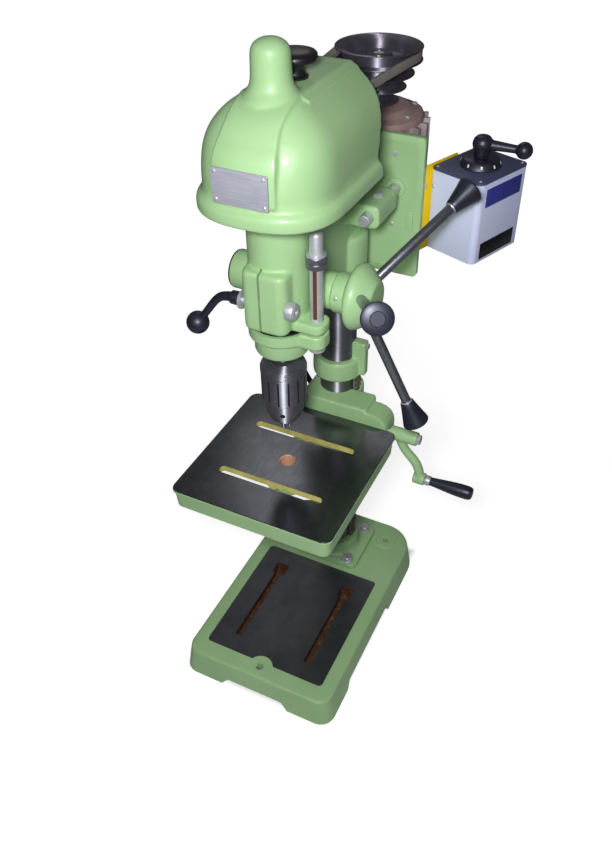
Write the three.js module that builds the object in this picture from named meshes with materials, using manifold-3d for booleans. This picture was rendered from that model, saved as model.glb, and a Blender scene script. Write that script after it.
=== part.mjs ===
// Bench pillar drill: base, column, rack-raised table, drill head with feed arms, belt drive and motor.
// Millimetres, +Z up, the front of the machine faces -Y and its right side faces +X.
// The pieces are modelled about the column: its axis is x = 0, y = 0 and the floor is z = 0.
import * as THREE from "three";
import { mergeVertices } from "three/addons/utils/BufferGeometryUtils.js";
import Module from "manifold-3d";

const wasm = await Module();
wasm.setup();

// Driving dimensions.
const fit = { seat: 0.3, bore: 0.4, over: 1 };
const facets = { small: 8, medium: 14, large: 20, column: 24, ball: 12, corner: 3 };
const reach = 180; // column axis to spindle axis
const far = 1000; // farther than any piece, for cutting tools

const base = {
  halfWidth: 137, front: -reach - 151, rear: 89, height: 50, flare: 9, edge: 4,
  frontCorner: 26, rearCorner: 58, wall: 11, top: 11,
  plateHalfWidth: 107, plateFront: -reach - 115, plateRear: -60, plateSink: 2.5, plateCorner: 6,
  frontArchHalf: 62, sideArchFront: -reach - 73, sideArchRear: -69, archHeight: 15, archSlope: 12,
  bossRadius: 21, bossY: -reach - 124, bossHole: 6, rearBossX: 86, rearBossY: 38, rearBossRadius: 18,
  rearBossRise: 2.5, rearHole: 5,
};
const slot = {
  x: 65, front: -reach - 82, rear: -92, stem: 6, head: 11, headLow: 27, headHigh: 37,
  entryLength: 24, entryHalf: 12, railHalf: 18, railLow: 20, railSpare: 8,
};
const foot = { halfX: 60, halfY: 54, pad: 12, corner: 10, hub: 42, hubTop: 86, boltX: 41, boltY: 41 };
const footBolt = { head: 9, headHeight: 6, washer: 11, washerHeight: 2, shank: 5, below: 13 };
const column = { radius: 28, top: 698 };
const collar = {
  outer: 36, low: 457, high: 500, lugIn: 29.2, lugOut: 48, lugHalf: 8.5, lugHigh: 523,
  screwZ: 513, screw: 3, screwHead: 5.5, screwOut: 51,
};
const rack = {
  half: 7, back: 28.8, pitch: 3 * Math.PI, root: 32.8, tip: 36.8, tipShare: 0.26, rootShare: 0.58,
};
const bracket = {
  ring: 42, low: 338, high: 430, front: -51, blockRight: 70, blockRear: -4, shoulder: 12,
  caseRight: 105, caseHigh: 425, caseRear: -14, caseLow: 352, caseCorner: 24,
  armRootHalf: 34, armTipHalf: 24, armLow: 352, armTipLow: 366, armRootY: -44, armGap: 0.4,
  channelHalf: 8, channelOut: 38.2, clampY: 14, clampZ: 392, clampHole: 5.4,
};
const lift = {
  x: 47, z: 363, pinion: 12, pinionTeeth: 8, pinionHalf: 7.5, wheel: 24, wheelTeeth: 16,
  wheelY: -39, wheelHalf: 5, shaft: 5, shaftFront: -47.5, shaftRear: 12, tooth: 1.9,
  chamberSpare: 2.2, worm: 7, wormLeft: 30, wormRight: 62, wormRoot: 4.9, wormTip: 6.7,
  wheelBlank: 22.7, wheelTooth: 1.2,
};
const crank = {
  shaft: 6, hub: 11, hubLeft: 109, hubRight: 153, knuckle: 10, knuckleLeft: 152, knuckleRight: 171,
  drop: 78, pin: 3, pinEnd: 238, gripNeck: 7, gripWide: 11, gripEnd: 249, ferrule: 8, ferruleLength: 8,
  arm: 7.5, armPoints: 10, armSteps: 12,
};
// x of each point along the crank arm and how far it lies below the shaft
const crankBend = [[125, 4], [129, 21], [143, 37], [157, 51], [161, 74]];
const clampLever = {
  stem: 5, stemTip: -28.8, hub: 9, hubLeft: -58, hubRight: -43, rod: 4,
  endX: -92, endY: 42, endZ: 420, ball: 8,
};
const table = {
  half: reach + bracket.front - 4, top: 409, plate: 10, rim: 5, low: 385, corner: 14, wall: 10,
  overhang: 2, draft: 4,
  boss: 34, hole: 11, slotReach: 56, slotHalf: 82, slotWide: 6.5, skirt: 377, notchHalf: 38,
  notchFront: -reach + 100, ribHalf: 5, edge: 0.8,
};
const tableBolt = { x: 0, y: -reach - 25, shank: 4.5, head: 8, headHeight: 6, into: 8, boltSeat: 24 };

const head = {
  tube: 38, low: 658, plateLow: 807, plateHigh: 814.7, plateHalf: 72, plateFront: -reach - 71,
  plateSlope: 8, columnTube: 40, columnLow: 600, columnHigh: 700, columnEdge: 5,
  webHalf: 25, webLow: 640, webGap: 3, webRear: 24, clampHalf: 30, clampFront: -reach - 48,
  clampLow: 660, clampHigh: 742, clampCorner: 12, slitLeft: -5, slitRight: -2,
  clampAxisY: -reach - 39, clampAxisZ: 697, clampHole: 5.4,
  feedBoss: 24, feedRight: 60, feedLeft: -60, barBossFront: -42, barBossRear: 24, barBoss: 16,
  tieFront: -20, tieRear: 14, tieHalf: 9,
  lugX: 53, lugY: -reach - 6, lugRound: 13, lugEnd: 68, lugFront: 19, lugRear: 16, lugLow: 658, lugHigh: 672,
};
const quill = {
  radius: 27, bore: 13, low: 634.3, high: 775, rackHalf: 7.5, rackRoot: -reach + 25.9,
  rackTip: -reach + 29.8, rackInner: -reach + 21, rackLow: 662, rackHigh: 768, channelHalf: 9,
  channelRear: -reach + 31, flatHalf: 8,
};
const feed = {
  y: -reach + 40, z: 688, pinion: 12, pinionTeeth: 8, pinionHalf: 7.5, shaft: 8, shaftLeft: -82,
  shaftRight: 104, hubLeft: 60.3, hub: 26, armRootX: 93, armRootRadius: 10, armTipX: 177,
  armTipRadius: 182, arm: 6.5,
  knobLength: 38, knobNeck: 9, knobWide: 18, knobDome: 4, knobBore: 13, firstAngle: 32.4, arms: 3,
};
// radius and x of each point of the feed hub's bell, from its neck to its right face
const feedBell = [
  [26, 79], [33, 81], [40, 83.5], [42.5, 88], [41.8, 93], [37, 100.5], [30, 108], [25.5, 112], [23, 114],
];
const spring = {
  inner: 10, outer: 21, turns: 3, thick: 1.2, left: -78, right: -66, capOuter: 26, capInner: 23,
  capLeft: -86, capRight: -60.3, capFloor: 4, boss: 10,
};
const nose = {
  collarOuter: 43, collarLow: 636, collarHigh: 655, ringOuter: 36, ringLow: 611,
  ringShelf: 618, ringBore: 15, bearingOuter: 22, bearingLow: 618.3, bearingHigh: 633.9,
};
const spindle = {
  radius: 12, top: 955, low: 600, taper: 8, taperLow: 574, shoulder: 13.5, shoulderLow: 605,
  shoulderHigh: 614,
};
const upperBearing = { low: 787, high: 799, inner: 17.4 };
const depth = {
  rod: 8.5, low: 626, high: 770, cap: 8, capHigh: 790, foot: 11, footHigh: 635.7, nut: 13,
  nutLow: 745, nutHeight: 7.5, nutGap: 0.5, nutFlats: 14,
};
const chuck = {
  top: 592, crown: 17, flange: 30.5, flangeHigh: 587, flangeLow: 584, ring: 31.6, ringLow: 576.5, core: 24,
  sleeveLow: 531, noseWide: 26.5, noseLow: 490, noseTip: 14.5, socketLow: 571, keyHole: 3.6,
  keyZ: 514, keyIn: 15, keys: 3, sleeve: 31.2, flute: 1.3, flutes: 14, jaws: 3, jaw: 3.8,
  jawTipRadius: 4.7, jawLow: 475, jawLean: 10, jawLength: 54, jawPoint: 9, jawPointTip: 1.8,
  jawRoom: 76, mouth: 8,
};
// radius and z of each point up the chuck's rounded nose
const chuckNose = [
  [chuck.noseTip, chuck.noseLow], [20.6, 493.6], [24.6, 500.5], [chuck.noseWide, 511],
];
const pulley = {
  step: 18, steps: 4, top: 910, largest: 60, drop: 10, groove: 10, shoulder: 2.8,
  dish: 50, dishWall: 43, dishEdge: 5, dishDepth: 17, dishFloor: 39, hub: 17, hubLow: 786,
  motorHubDrop: 9, motorBore: 8.4,
};
const belt = { height: 12, thick: 8, recess: 1.6 };
const lock = {
  screw: 5, headLeft: 30.3, headRight: 42, head: 11.5, end: -44, hubLeft: -47, hubRight: -30.3, hub: 10,
  rod: 5, endX: -99, endY: -reach - 43, endZ: 648, ball: 13.5, bendX: -56, bendZ: 692,
};
const motor = {
  y: 123, radius: 68, low: 700, high: 818, bellHigh: 834, bellTop: 34, bellLow: 688, bellBottom: 40,
  flat: 68.3, fin: 2.5, fins: 20, shaft: 8, shaftLow: 822, shaftTop: 900, shaftHole: 24,
};
const plate = {
  half: 97, front: 58, rear: 68, low: 613, high: 820, rim: 9, sink: 2.5, corner: 6,
  padLeft: 56, padRight: 64, padLow: 716, padHigh: 744,
};
const bar = { x: 58, z: 745, radius: 8, front: -56 };
const hood = {
  lipLow: 815, wall: 5, rearLow: -70, rearHigh: -40, openRear: -10,
  mouthHalf: 64, mouthFront: -reach - 64, mouthHigh: 819,
  chimneyLow: 930, boreHigh: spindle.top + 21, chimneyBore: 15.5, band: 33, bandRise: 3.4,
  centreY: -reach + 4, arcPoints: 14, roundPower: 2.5, cavityTop: 927,
  padHalf: 37, padDeep: 11, padLow: 838, padHigh: 884, padFront: -reach - 79,
};
// height, half width and front edge of each slice through the hood
const hoodSlices = [
  [838, 80, -reach - 75],
  [860, 80, -reach - 74],
  [885, 77, -reach - 68],
  [904, 69, -reach - 58],
  [919, 56, -reach - 43],
  [929, 42, -reach - 26],
  [934, 30, -reach - 10],
];
// how far the lip stands out of the first slice at each depth below it
const hoodLip = [[23, 6.5], [21, 8], [9, 8], [4, 5]];
// radius of the chimney at each height above the spindle's top, from its foot to its dome
const chimneySteps = [
  [33, -25], [32, -20], [28, -16], [24.5, -11], [22.6, -3], [22, 8], [21.6, 21], [20.9, 25.5],
  [18.6, 29.5], [14, 33], [8, 35.8], [0, 37],
];
const badge = { half: 34, low: 841, high: 881, thick: 1.5 };
const knob = {
  y: -reach + 52, neck: 13, disc: 26.5, neckHigh: 14, rim: 9, crown: 4, boss: 16, bossHeight: 3, base: 937.7,
};
const box = {
  x: 98.4, y: 82.4, turn: -21, wide: 87, deep: 106, shaftDeep: 53, low: 655, high: 774, corner: 9,
  shaftHole: 5.4, holeLow: 755,
};
const strap = { left: 72, right: 93, thick: 3, low: 650, high: 768, legDeep: 52, legStart: -13.5 };
const dial = { low: 29, high: 24, rise: 10, bore: 5.5 };
const lever = {
  skirt: 10, cap: 14, capTop: 12, capRise: 18, rise: 30, stem: 5, stemLow: 759, rod: 5.5, rodRise: 18,
  endX: 214, endY: 120,
  endZ: 801, ball: 11.5,
};

const colour = {
  paint: 0x93bc80, iron: 0x3a3b3f, steel: 0xb9bcc0, darkSteel: 0x55555a, black: 0x16161a, belt: 0x5a5250,
  motor: 0x7a6462, box: 0x9aa6dc, yellow: 0xf0cf10, plate: 0xb8bab6, brass: 0xa8894a,
};

// Solids.
function outward(geometry) {
  const bare = geometry.index ? geometry.toNonIndexed() : geometry.clone();
  bare.deleteAttribute("normal");
  bare.deleteAttribute("uv");
  const merged = mergeVertices(bare, 1e-3);
  const p = merged.attributes.position;
  const index = Array.from(merged.index.array);
  const a = new THREE.Vector3();
  const b = new THREE.Vector3();
  const c = new THREE.Vector3();
  const kept = [];
  let volume = 0;
  for (let i = 0; i < index.length; i += 3) {
    const [u, v, w] = [index[i], index[i + 1], index[i + 2]];
    if (u === v || v === w || u === w) continue;
    a.fromBufferAttribute(p, u);
    b.fromBufferAttribute(p, v);
    c.fromBufferAttribute(p, w);
    volume += a.dot(b.cross(c));
    kept.push(u, v, w);
  }
  if (volume < 0) kept.reverse();
  merged.setIndex(kept);
  return merged;
}

function toManifold(geometry) {
  const g = outward(geometry);
  return new wasm.Manifold(new wasm.Mesh({
    numProp: 3,
    vertProperties: new Float32Array(g.attributes.position.array),
    triVerts: new Uint32Array(g.index.array),
  }));
}

function fromManifold(solid) {
  const mesh = solid.getMesh();
  const geometry = new THREE.BufferGeometry();
  geometry.setAttribute("position", new THREE.BufferAttribute(new Float32Array(mesh.vertProperties), 3));
  geometry.setIndex(new THREE.BufferAttribute(new Uint32Array(mesh.triVerts), 1));
  return geometry;
}

function join(...parts) {
  return fromManifold(parts.map(toManifold).reduce((sum, next) => sum.add(next)));
}

function cut(body, ...tools) {
  return fromManifold(tools.map(toManifold).reduce((rest, tool) => rest.subtract(tool), toManifold(body)));
}

function common(first, second) {
  return fromManifold(toManifold(first).intersect(toManifold(second)));
}

function block([x0, x1], [y0, y1], [z0, z1]) {
  const geometry = new THREE.BoxGeometry(x1 - x0, y1 - y0, z1 - z0);
  return geometry.translate((x0 + x1) / 2, (y0 + y1) / 2, (z0 + z1) / 2);
}

// A solid of revolution about the upright axis through (x, y); the profile lists [radius, z].
function turned(profile, x, y, segments) {
  const points = profile.map(([radius, z]) => new THREE.Vector2(radius, z));
  return new THREE.LatheGeometry(points, segments).rotateX(Math.PI / 2).translate(x, y, 0);
}

function disc(radius, x, y, z0, z1, segments) {
  return turned([[0, z0], [radius, z0], [radius, z1], [0, z1]], x, y, segments);
}

function tube(outer, inner, x, y, z0, z1, segments) {
  return turned([[inner, z0], [outer, z0], [outer, z1], [inner, z1], [inner, z0]], x, y, segments);
}

// The same about an axis along X through (y, z); the profile lists [radius, x].
function turnedX(profile, y, z, segments) {
  const points = profile.map(([radius, x]) => new THREE.Vector2(radius, x));
  return new THREE.LatheGeometry(points, segments).rotateZ(-Math.PI / 2).translate(0, y, z);
}

function discX(radius, y, z, x0, x1, segments) {
  return turnedX([[0, x0], [radius, x0], [radius, x1], [0, x1]], y, z, segments);
}

function discY(radius, x, z, y0, y1, segments) {
  const geometry = new THREE.CylinderGeometry(radius, radius, y1 - y0, segments);
  return geometry.translate(x, (y0 + y1) / 2, z);
}

// A round rod between two points, with its own radius at each end.
function rod(from, to, fromRadius, toRadius, segments) {
  const start = new THREE.Vector3(...from);
  const end = new THREE.Vector3(...to);
  const along = end.clone().sub(start);
  const geometry = new THREE.CylinderGeometry(toRadius, fromRadius, along.length(), segments);
  const up = new THREE.Vector3(0, 1, 0);
  const turn = new THREE.Quaternion().setFromUnitVectors(up, along.clone().normalize());
  geometry.applyQuaternion(turn);
  const middle = start.add(end).multiplyScalar(0.5);
  return geometry.translate(middle.x, middle.y, middle.z);
}

function ball(radius, [x, y, z], segments) {
  return new THREE.SphereGeometry(radius, segments, Math.round(segments / 2)).translate(x, y, z);
}

// A solid through rings of equal point counts, with a flat fan on its first and last ring.
function loft(rings) {
  const count = rings[0].length;
  const points = rings.flat();
  const index = [];
  for (let r = 0; r + 1 < rings.length; r += 1) {
    for (let i = 0; i < count; i += 1) {
      const j = (i + 1) % count;
      const low = r * count;
      const high = low + count;
      index.push(low + i, low + j, high + j, low + i, high + j, high + i);
    }
  }
  const middle = (ring) => [0, 1, 2].map((k) => ring.reduce((sum, point) => sum + point[k], 0) / count);
  const first = points.push(middle(rings[0])) - 1;
  const last = points.push(middle(rings[rings.length - 1])) - 1;
  const top = (rings.length - 1) * count;
  for (let i = 0; i < count; i += 1) {
    const j = (i + 1) % count;
    index.push(first, j, i, last, top + i, top + j);
  }
  const geometry = new THREE.BufferGeometry();
  geometry.setAttribute("position", new THREE.Float32BufferAttribute(points.flat(), 3));
  geometry.setIndex(index);
  return geometry;
}

// A rectangle with round corners at height z, front corners and rear corners each with a radius.
function roundedRing([x0, x1], [y0, y1], frontRadius, rearRadius, z) {
  const corners = [
    [x1 - frontRadius, y0 + frontRadius, frontRadius, -90],
    [x1 - rearRadius, y1 - rearRadius, rearRadius, 0],
    [x0 + rearRadius, y1 - rearRadius, rearRadius, 90],
    [x0 + frontRadius, y0 + frontRadius, frontRadius, 180],
  ];
  return corners.flatMap(([cx, cy, radius, start]) => {
    const arc = [];
    for (let i = 0; i <= facets.corner; i += 1) {
      const angle = THREE.MathUtils.degToRad(start + (90 * i) / facets.corner);
      arc.push([cx + radius * Math.cos(angle), cy + radius * Math.sin(angle), z]);
    }
    return arc;
  });
}

function roundedBlock(xs, ys, radius, [z0, z1]) {
  return loft([roundedRing(xs, ys, radius, radius, z0), roundedRing(xs, ys, radius, radius, z1)]);
}

// A flat outline of [u, v] points pushed along Z, then turned so that u, v and the push lie as asked.
function prism(outline, from, to) {
  const shape = new THREE.Shape(outline.map(([u, v]) => new THREE.Vector2(u, v)));
  const geometry = new THREE.ExtrudeGeometry(shape, { depth: to - from, bevelEnabled: false });
  return geometry.translate(0, 0, from);
}

// outline in (x, z), pushed along Y from y0 to y1
function prismY(outline, y0, y1) {
  return prism(outline, -y1, -y0).rotateX(Math.PI / 2);
}

// outline in (y, z), pushed along X from x0 to x1
function prismX(outline, x0, x1) {
  return prism(outline, x0, x1).rotateX(Math.PI / 2).rotateZ(Math.PI / 2);
}

// The outline of a toothed wheel about (0, 0) with a tooth centred on the angle given.
function gearOutline(pitchRadius, teeth, toothHeight, firstAngle) {
  const outline = [];
  const step = (2 * Math.PI) / teeth;
  for (let i = 0; i < teeth; i += 1) {
    const middle = firstAngle + i * step;
    const corners = [
      [pitchRadius - toothHeight, -rack.rootShare / 2],
      [pitchRadius + toothHeight, -rack.tipShare / 2],
      [pitchRadius + toothHeight, rack.tipShare / 2],
      [pitchRadius - toothHeight, rack.rootShare / 2],
    ];
    for (const [radius, share] of corners) {
      const angle = middle + share * step;
      outline.push([radius * Math.cos(angle), radius * Math.sin(angle)]);
    }
  }
  return outline;
}

// The outline of an upright rack: [across, z] points, teeth pointing to larger values of across.
function rackOutline(back, root, tip, low, high, gapZ) {
  const outline = [[back, low]];
  const first = Math.ceil((low - gapZ) / rack.pitch - 0.5);
  const last = Math.floor((high - gapZ) / rack.pitch - 0.5);
  for (let i = first; i <= last; i += 1) {
    const z = gapZ + (i + 0.5) * rack.pitch;
    const foot = (rack.rootShare * rack.pitch) / 2;
    const crest = (rack.tipShare * rack.pitch) / 2;
    if (z - foot < low || z + foot > high) continue;
    outline.push([root, z - foot], [tip, z - crest], [tip, z + crest], [root, z + foot]);
  }
  outline.splice(1, 0, [root, low]);
  outline.push([root, high], [back, high]);
  return outline;
}

// Pieces.
const drill = new THREE.Group();

function add(name, geometry, hex, roughness, metalness) {
  const shaded = outward(geometry);
  shaded.computeVertexNormals();
  const material = new THREE.MeshStandardMaterial({ color: hex, roughness, metalness, flatShading: true });
  const mesh = new THREE.Mesh(shaded, material);
  mesh.name = name;
  drill.add(mesh);
  return mesh;
}

const painted = (name, geometry) => add(name, geometry, colour.paint, 0.4, 0);
const steelPiece = (name, geometry) => add(name, geometry, colour.steel, 0.3, 1);
const blackPiece = (name, geometry) => add(name, geometry, colour.black, 0.3, 0);

function baseRing(inset, z) {
  return roundedRing(
    [-base.halfWidth + inset, base.halfWidth - inset],
    [base.front + inset, base.rear - inset],
    base.frontCorner - inset * 0.4,
    base.rearCorner - inset * 0.6,
    z,
  );
}

function makeBase() {
  const shell = loft([
    baseRing(0, 0),
    baseRing(base.flare * 0.75, base.height - base.edge),
    baseRing(base.flare, base.height - base.edge * 0.3),
    baseRing(base.flare + base.edge * 0.7, base.height),
  ]);
  const hollow = loft([
    baseRing(base.wall, -fit.over),
    baseRing(base.wall + base.flare, base.height - base.top),
  ]);
  const sink = roundedBlock(
    [-base.plateHalfWidth, base.plateHalfWidth],
    [base.plateFront, base.plateRear],
    base.plateCorner,
    [base.height - base.plateSink, base.height + fit.over],
  );
  const boss = disc(base.bossRadius, 0, base.bossY, 0, base.height + fit.over * 2, facets.medium);
  const rails = [-1, 1].map((side) => block(
    [side * slot.x - slot.railHalf, side * slot.x + slot.railHalf],
    [slot.front - slot.railSpare, slot.rear + slot.railSpare],
    [slot.railLow, base.height - base.plateSink - fit.seat],
  ));
  const rearBosses = [-1, 1].map((side) => disc(
    base.rearBossRadius,
    side * base.rearBossX,
    base.rearBossY,
    base.height - base.top,
    base.height + base.rearBossRise,
    facets.medium,
  ));
  const bossHole = disc(base.bossHole, 0, base.bossY, 0, base.height + fit.over, facets.small);
  const cornerHoles = [-1, 1].map((side) => disc(
    base.rearHole,
    side * base.rearBossX,
    base.rearBossY,
    0,
    base.height + base.rearBossRise + fit.over,
    facets.small,
  ));
  const boltHoles = footBoltPlaces().map(([x, y]) => disc(
    footBolt.shank + fit.bore,
    x,
    y,
    base.height - base.top - fit.over,
    base.height + fit.over,
    facets.small,
  ));
  const archOutline = (from, to) => [
    [from, -fit.over],
    [to, -fit.over],
    [to - base.archSlope, base.archHeight],
    [from + base.archSlope, base.archHeight],
  ];
  const frontArch = prismY(
    archOutline(-base.frontArchHalf, base.frontArchHalf),
    base.front - fit.over,
    base.rear + fit.over,
  );
  const sideArch = prismX(
    archOutline(base.sideArchFront, base.sideArchRear),
    -base.halfWidth - fit.over,
    base.halfWidth + fit.over,
  );
  const slots = [-1, 1].flatMap((side) => {
    const x = side * slot.x;
    const high = base.height + fit.over;
    return [
      block([x - slot.stem, x + slot.stem], [slot.front, slot.rear], [slot.headHigh - fit.over, high]),
      block([x - slot.head, x + slot.head], [slot.front, slot.rear], [slot.headLow, slot.headHigh]),
      block(
        [x - slot.entryHalf, x + slot.entryHalf],
        [slot.rear - slot.entryLength, slot.rear],
        [slot.headLow, high],
      ),
    ];
  });
  const body = join(cut(shell, hollow), ...rails, ...rearBosses);
  const hollows = [cut(sink, boss), bossHole, ...cornerHoles, ...boltHoles, frontArch, sideArch, ...slots];
  painted("base", cut(body, ...hollows));
}

function footBoltPlaces() {
  return [[-1, -1], [1, -1], [1, 1], [-1, 1]].map(([sx, sy]) => [sx * foot.boltX, sy * foot.boltY]);
}

function makeFoot() {
  const low = base.height + fit.seat;
  const high = base.height + foot.pad;
  const pad = roundedBlock([-foot.halfX, foot.halfX], [-foot.halfY, foot.halfY], foot.corner, [low, high]);
  const hub = turned(
    [[0, low], [foot.hub + 4, low], [foot.hub + 2, high + 4], [foot.hub - 2, foot.hubTop - 2],
      [foot.hub - 4, foot.hubTop], [0, foot.hubTop]],
    0,
    0,
    facets.large,
  );
  const bore = disc(column.radius + fit.bore, 0, 0, 0, foot.hubTop + fit.over, facets.large);
  const holes = footBoltPlaces().map(([x, y]) => disc(
    footBolt.shank + fit.bore, x, y, 0, high + foot.hubTop, facets.small,
  ));
  const seats = footBoltPlaces().map(([x, y]) => disc(
    footBolt.washer + fit.over, x, y, high, high + foot.hubTop, facets.medium,
  ));
  painted("column_flange", cut(join(pad, hub), bore, ...holes, ...seats));
  footBoltPlaces().forEach(([x, y], i) => {
    const seat = high + fit.seat;
    const under = seat + footBolt.washerHeight;
    const shank = disc(footBolt.shank, x, y, seat - foot.pad - footBolt.below + 2, under, facets.small);
    const washer = disc(footBolt.washer, x, y, seat, under, facets.medium);
    const hex = disc(footBolt.head, x, y, under - fit.seat, under + footBolt.headHeight, 6);
    steelPiece("flange_bolt_" + (i + 1), join(shank, washer, hex));
  });
}

function makeColumn() {
  const low = base.height + fit.seat;
  steelPiece("column", turned(
    [[0, low], [column.radius, low], [column.radius, column.top - 2], [column.radius - 2, column.top],
      [0, column.top]],
    0,
    0,
    facets.column,
  ));
}

function makeCollar() {
  const ring = turned(
    [[column.radius + fit.bore, collar.low], [collar.outer - 1.5, collar.low], [collar.outer, collar.low + 2],
      [collar.outer, collar.high - 3], [collar.outer - 2, collar.high],
      [column.radius + fit.bore, collar.high], [column.radius + fit.bore, collar.low]],
    0,
    0,
    facets.large,
  );
  const lug = roundedBlock(
    [collar.lugIn, collar.lugOut],
    [-collar.lugHalf, collar.lugHalf],
    3,
    [collar.low + 4, collar.lugHigh],
  );
  const bore = disc(column.radius + fit.bore, 0, 0, collar.low - 1, collar.lugHigh + 1, facets.column);
  const hole = discX(collar.screw + fit.bore, 0, collar.screwZ, 20, collar.lugOut + fit.over, facets.small);
  painted("column_collar", cut(join(ring, lug), bore, hole));
  steelPiece("collar_screw", turnedX(
    [[0, column.radius + 0.5], [collar.screw, column.radius + 0.5], [collar.screw, collar.lugOut + fit.seat],
      [collar.screwHead, collar.lugOut + fit.seat], [collar.screwHead, collar.screwOut],
      [0, collar.screwOut]],
    0,
    collar.screwZ,
    facets.small,
  ));
}

function makeRack() {
  const low = foot.hubTop + fit.seat * 2;
  const high = collar.low - fit.seat * 2;
  const outline = rackOutline(rack.back, rack.root, rack.tip, low, high, lift.z);
  steelPiece("table_rack", prismY(outline, -rack.half, rack.half));
}

function wormZ() {
  return lift.z + lift.wheel + lift.worm;
}

function makeBracket() {
  const ring = disc(bracket.ring, 0, 0, bracket.low, bracket.high, facets.column);
  const front = roundedBlock(
    [-bracket.ring, bracket.blockRight],
    [bracket.front, bracket.blockRear],
    bracket.shoulder / 2,
    [bracket.low + bracket.shoulder, bracket.high],
  );
  const shape = [
    [bracket.blockRight - 20, bracket.caseLow],
    [bracket.caseRight, bracket.caseLow],
  ];
  for (let i = 0; i <= facets.corner; i += 1) {
    const angle = ((Math.PI / 2) * i) / facets.corner;
    shape.push([
      bracket.caseRight - bracket.caseCorner + bracket.caseCorner * Math.cos(angle),
      bracket.caseHigh - bracket.caseCorner + bracket.caseCorner * Math.sin(angle),
    ]);
  }
  shape.push([bracket.blockRight - 20, bracket.caseHigh]);
  const gearCase = prismY(shape, bracket.front, bracket.caseRear);
  const armHigh = table.low - bracket.armGap;
  const seatHigh = armHigh;
  const arm = loft([
    armRing(bracket.armRootHalf, bracket.armRootY, bracket.armLow, seatHigh),
    armRing(bracket.armTipHalf, -reach, bracket.armTipLow, seatHigh),
  ]);
  const seat = disc(table.boss - 2, 0, -reach, bracket.armTipLow, seatHigh, facets.large);
  const bore = disc(column.radius + fit.bore, 0, 0, 0, far, facets.column);
  const channel = block(
    [0, bracket.channelOut],
    [-bracket.channelHalf, bracket.channelHalf],
    [bracket.low - fit.over, bracket.high + fit.over],
  );
  const spare = lift.tooth + lift.chamberSpare;
  const pinionRoom = discY(
    lift.pinion + spare, lift.x, lift.z, -lift.pinionHalf - 1, lift.pinionHalf + 1, facets.large,
  );
  const wheelRoom = discY(
    lift.wheel + spare,
    lift.x,
    lift.z,
    lift.wheelY - lift.wheelHalf - 1,
    lift.wheelY + lift.wheelHalf + 1,
    facets.large,
  );
  const wormRoom = discX(
    lift.worm + spare, lift.wheelY, wormZ(), lift.wormLeft - 2, lift.wormRight + 2, facets.medium,
  );
  const shaftHole = discY(
    lift.shaft + fit.bore, lift.x, lift.z, lift.shaftFront - 1, lift.shaftRear + 1, facets.large,
  );
  const crankHole = discX(
    crank.shaft + fit.bore, lift.wheelY, wormZ(), lift.wormLeft, bracket.caseRight + fit.over, facets.medium,
  );
  const tableHole = disc(table.hole + 1, 0, -reach, 0, table.top, facets.medium);
  const boltHole = disc(tableBolt.shank + fit.bore, tableBolt.x, tableBolt.y, 0, table.top, facets.small);
  const clampHole = discX(
    bracket.clampHole,
    bracket.clampY,
    bracket.clampZ,
    -bracket.ring - fit.over,
    -column.radius / 2,
    facets.large,
  );
  painted("table_bracket", cut(
    join(ring, front, gearCase, arm, seat),
    bore,
    channel,
    pinionRoom,
    wheelRoom,
    wormRoom,
    shaftHole,
    crankHole,
    tableHole,
    boltHole,
    clampHole,
  ));
}

function armRing(half, y, low, high) {
  return [[half, y, low], [half, y, high], [-half, y, high], [-half, y, low]];
}

function makeLiftGears() {
  const toQuill = Math.PI;
  const pinion = prismY(
    gearOutline(lift.pinion, lift.pinionTeeth, lift.tooth, toQuill),
    -lift.pinionHalf,
    lift.pinionHalf,
  ).translate(lift.x, 0, lift.z);
  const wheelStep = (2 * Math.PI) / lift.wheelTeeth;
  const wheel = prismY(
    gearOutline(lift.wheelBlank, lift.wheelTeeth, lift.wheelTooth, Math.PI / 2 + wheelStep / 2),
    lift.wheelY - lift.wheelHalf,
    lift.wheelY + lift.wheelHalf,
  ).translate(lift.x, 0, lift.z);
  const shaft = discY(lift.shaft, lift.x, lift.z, lift.shaftFront, lift.shaftRear, facets.small);
  steelPiece("lift_gear", join(pinion, wheel, shaft));
}

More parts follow.
